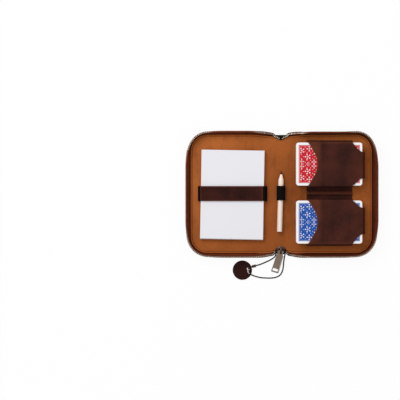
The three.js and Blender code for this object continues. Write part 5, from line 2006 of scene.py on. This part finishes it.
@dataclass
class Slider:
    """Zip slider: two plates round the zip's channel, flanges, a post at the nose and the bridge."""

    finishes: Finishes
    tail: float = -0.0799
    length: float = 0.0102
    base: float = 0.0044
    plate: float = 0.0012
    channel: float = 0.003
    dome: tuple[Pair, ...] = ((0.0009, 0.0003), (0.001, 0.0001))
    flange_x: float = 0.0047
    flange_half: float = 0.00035
    flange_y: Pair = (0.001, 0.0068)
    flange_z: Pair = (-0.0011, 0.0002)
    post_radius: float = 0.0011
    post_inset: float = 0.0016
    bridge_half: float = 0.001
    bridge_thick: float = 0.00065
    bridge_flare: float = 0.3
    bridge_faces: int = 36
    half_outline: tuple[Pair, ...] = (
        (0.0, 0.0102), (0.0022, 0.0098), (0.0040, 0.0083), (0.0049, 0.0060), (0.0052, 0.0035), (0.0050, 0.0012),
        (0.0043, 0.0002), (0.0, 0.0),
    )
    bridge: tuple[Pair, ...] = (
        (-0.0794, 0.0094), (-0.07945, 0.0120), (-0.0790, 0.0135), (-0.0776, 0.01415), (-0.0758, 0.0142),
        (-0.0740, 0.01415), (-0.0728, 0.0135), (-0.0723, 0.0120), (-0.07235, 0.0094),
    )
    bar_profile: tuple[Pair, ...] = (
        (1.0, 0.0), (0.75, 0.7), (0.0, 1.0), (-0.75, 0.7), (-1.0, 0.0), (-0.75, -0.7), (0.0, -1.0), (0.75, -0.7)
    )

    def build(self) -> None:
        """Makes the slider as one piece of cast metal."""
        top = self.base + self.plate + self.channel
        parts = [self.flat("lower", self.base, -1), self.flat("upper", top, 1)]
        for sign in (1, -1):
            x = sign * self.flange_x
            low = (x - self.flange_half, self.tail + self.flange_y[0], top + self.flange_z[0])
            high = (x + self.flange_half, self.tail + self.flange_y[1], top + self.flange_z[1])
            parts.append(Piece.box("flange", low, high).ease(0.00025, 2, 40).obj)
        nose = self.tail + self.length - self.post_inset
        post = Piece.rod("post", self.post_radius, self.base + self.plate / 2, top + self.plate / 2, 12)
        parts += [post.move(Matrix.Translation((0, nose, 0))).obj, self.arch().obj]
        slider = Piece.joined("slider_body", parts)
        slider.dress(self.finishes.gunmetal, "slider_metal", 45).ride("spine", "zip_slider")

    def flat(self, name: str, low: float, up: int) -> bpy.types.Object:
        """One plate above a height, its outer face rounded like a dome: the upper one at up = 1, else -1."""
        half = Route([(x, y, 0) for x, y in self.half_outline], 6)
        points = [half.at(half.length * i / 20) for i in range(21)]
        ring = points + [Vector((-p.x, p.y, 0)) for p in reversed(points[1:-1])]
        Piece.clear_selection()
        bpy.ops.mesh.primitive_circle_add(vertices=len(ring), radius=self.length, fill_type="NGON")
        plate = Piece(name)
        for vertex, point in zip(plate.obj.data.vertices, ring):
            vertex.co = point + Vector((0, self.tail, low))
        plate.modify("SOLIDIFY", thickness=self.plate, offset=0).outwards()
        plate.move(Matrix.Translation((0, 0, self.plate / 2)))
        outer = low + (self.plate if up > 0 else 0)
        plate.pick(Kind.FACE, lambda face: abs(face.calc_center_median().z - outer) < 1e-5).inset(0.0006)
        for inset, rise in self.dome:
            plate.inset(inset).raise_by(rise * up)
        return plate.ease(0.0003).obj

    def arch(self) -> Piece:
        """The bridge: a bent bar over the plate, wider at its feet."""
        line = Route([(0, y, z) for y, z in self.bridge], 5)
        sides = len(self.bar_profile)

        def place(u: float, v: float) -> Vector:
            """A point of the bar's skin."""
            point, along = line.at(u * line.length), line.along(u * line.length)
            across = Vector((1, 0, 0))
            wide, thick = self.bar_profile[round(v * sides) % sides]
            half = self.bridge_half * (1 + self.bridge_flare * (2 * u - 1) ** 4)
            return point + across * wide * half + across.cross(along) * thick * self.bridge_thick

        arch = Piece.grid("arch", self.bridge_faces, sides, place).merge()
        bpy.ops.mesh.fill_holes(sides=0)
        return arch.outwards()


@dataclass
class PullTab:
    """Pull tab: a flat bar with an opening for the bridge at its head and a slot at its end."""

    finishes: Finishes
    hinge: tuple[float, float, float] = (0.0004, -0.0772, 0.0124)
    yaw_deg: float = -17.0
    slope_deg: float = 20.5
    thickness: float = 0.0013
    length: float = 0.032
    columns: tuple[float, ...] = (-0.0045, -0.0032, -0.0016, 0.0016, 0.0032, 0.0051)
    rows: tuple[float, ...] = (
        -0.0320, -0.0301, -0.0262, -0.0246, -0.0090, -0.0066, -0.0054, -0.0037, -0.00065, 0.00065
    )
    taper: float = 0.10
    head_half: float = 0.0036
    head_from: float = -0.006
    panel_groove: Pair = (0.0005, -0.00018)
    end_corner: tuple[float, float, int] = (0.004, 0.0011, 4)
    head_corner: tuple[float, float, int] = (0.0035, 0.0006, 3)

    def faces_between(self, face: bmesh.types.BMFace, half: float, low: float, high: float) -> bool:
        """Whether a face's middle lies in a box about the tab's middle line."""
        middle = face.calc_center_median()
        return abs(middle.x) < half and low < middle.y < high

    def build(self) -> None:
        """Makes the tab flat, then sets it at its rest angle."""
        xs, ys = self.columns, self.rows
        end, slot_low, slot_high, panel_low, panel_high, _, _, head_low, head_high, head_end = ys
        opening, wide = xs[3], self.columns[4] + 0.0002

        def place(u: float, v: float) -> Vector:
            """A corner of the tab's middle sheet."""
            x, y = xs[round(u * (len(xs) - 1))], ys[round(v * (len(ys) - 1))]
            if y > self.head_from and abs(x) > wide:
                x = math.copysign(self.head_half, x)
            return Vector((x * lerp(1.0, 1.0 + self.taper, max(-y / self.length, 0.0)), y, 0))

        tab = Piece.grid("tab_bar", len(xs) - 1, len(ys) - 1, place)
        openings = ((opening, head_low, head_high), (wide, slot_low, slot_high))
        tab.pick(Kind.FACE, lambda face: any(self.faces_between(face, *box) for box in openings))
        bpy.ops.mesh.delete(type="FACE")
        for y, (beyond, radius, parts) in ((end, self.end_corner), (head_end, self.head_corner)):
            tab.pick(Kind.POINT, lambda point: abs(point.co.y - y) < 5e-5 and abs(point.co.x) > beyond)
            tab.bevel(radius, parts, Kind.POINT)
        tab.thicken(self.thickness, 0).outwards()
        panel = (wide, panel_low, panel_high)
        tab.pick(Kind.FACE, lambda face: face.normal.z > UPRIGHT and self.faces_between(face, *panel))
        tab.inset(*self.panel_groove).ease(0.00032, 3)
        # painted highlight: the right edge paler, as if lit
        tab.attribute("wear", lambda point: 0.85 * smoothstep(point.x, 0.0036, 0.0043))
        yaw, slope = math.radians(self.yaw_deg), math.radians(self.slope_deg)
        tab.move(Matrix.Translation(self.hinge) @ Matrix.Rotation(yaw, 4, "Z") @ Matrix.Rotation(slope, 4, "X"))
        tab.dress(self.finishes.tab_metal, "tab_metal").ride("pull_tab", "pull_tab")


@dataclass(frozen=True)
class Boards:
    """CAD nodes whose shape is right, and the finish that each gets."""

    finishes: Finishes
    stiff: tuple[str, ...] = ("back_board", "front_board", "spine_stiffener")
    grey: tuple[str, ...] = ("note_backing",)

    def build(self) -> None:
        """Gives the boards their finish."""
        for names, material in ((self.stiff, self.finishes.core_board), (self.grey, self.finishes.grey_board)):
            for name in names:
                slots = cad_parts[name].data.materials
                slots.clear()
                slots.append(material)
                log.info("%s keeps its CAD shape", name)


def main() -> None:
    """Builds the studio and every sub-assembly."""
    logging.basicConfig(level=logging.INFO, format="%(message)s")
    finishes = Finishes()
    Studio().build()
    BallChain(finishes).build(LeatherTag(finishes).build())
    back = Rim(Side.BACK, reach=0.1255, lean_side=0.0068, lean_top=0.0018, lean_corner=0.0034, lean_cut=0.0006)
    for rim in (back, Rim(Side.FRONT)):
        for layer in (Covers, ZipWall, Lining):
            layer(finishes, rim).build()
    Pocket(finishes).build()
    Deck(finishes, "red", (202, 6, 30), 0.0408).build()
    Deck(finishes, "blue", (8, 78, 170), -0.0375).build()
    for assembly in (NotePad, Strap, Pencil, ZipEnds, Slider, PullTab, Boards):
        assembly(finishes).build()


if __name__ == "__main__":
    main()
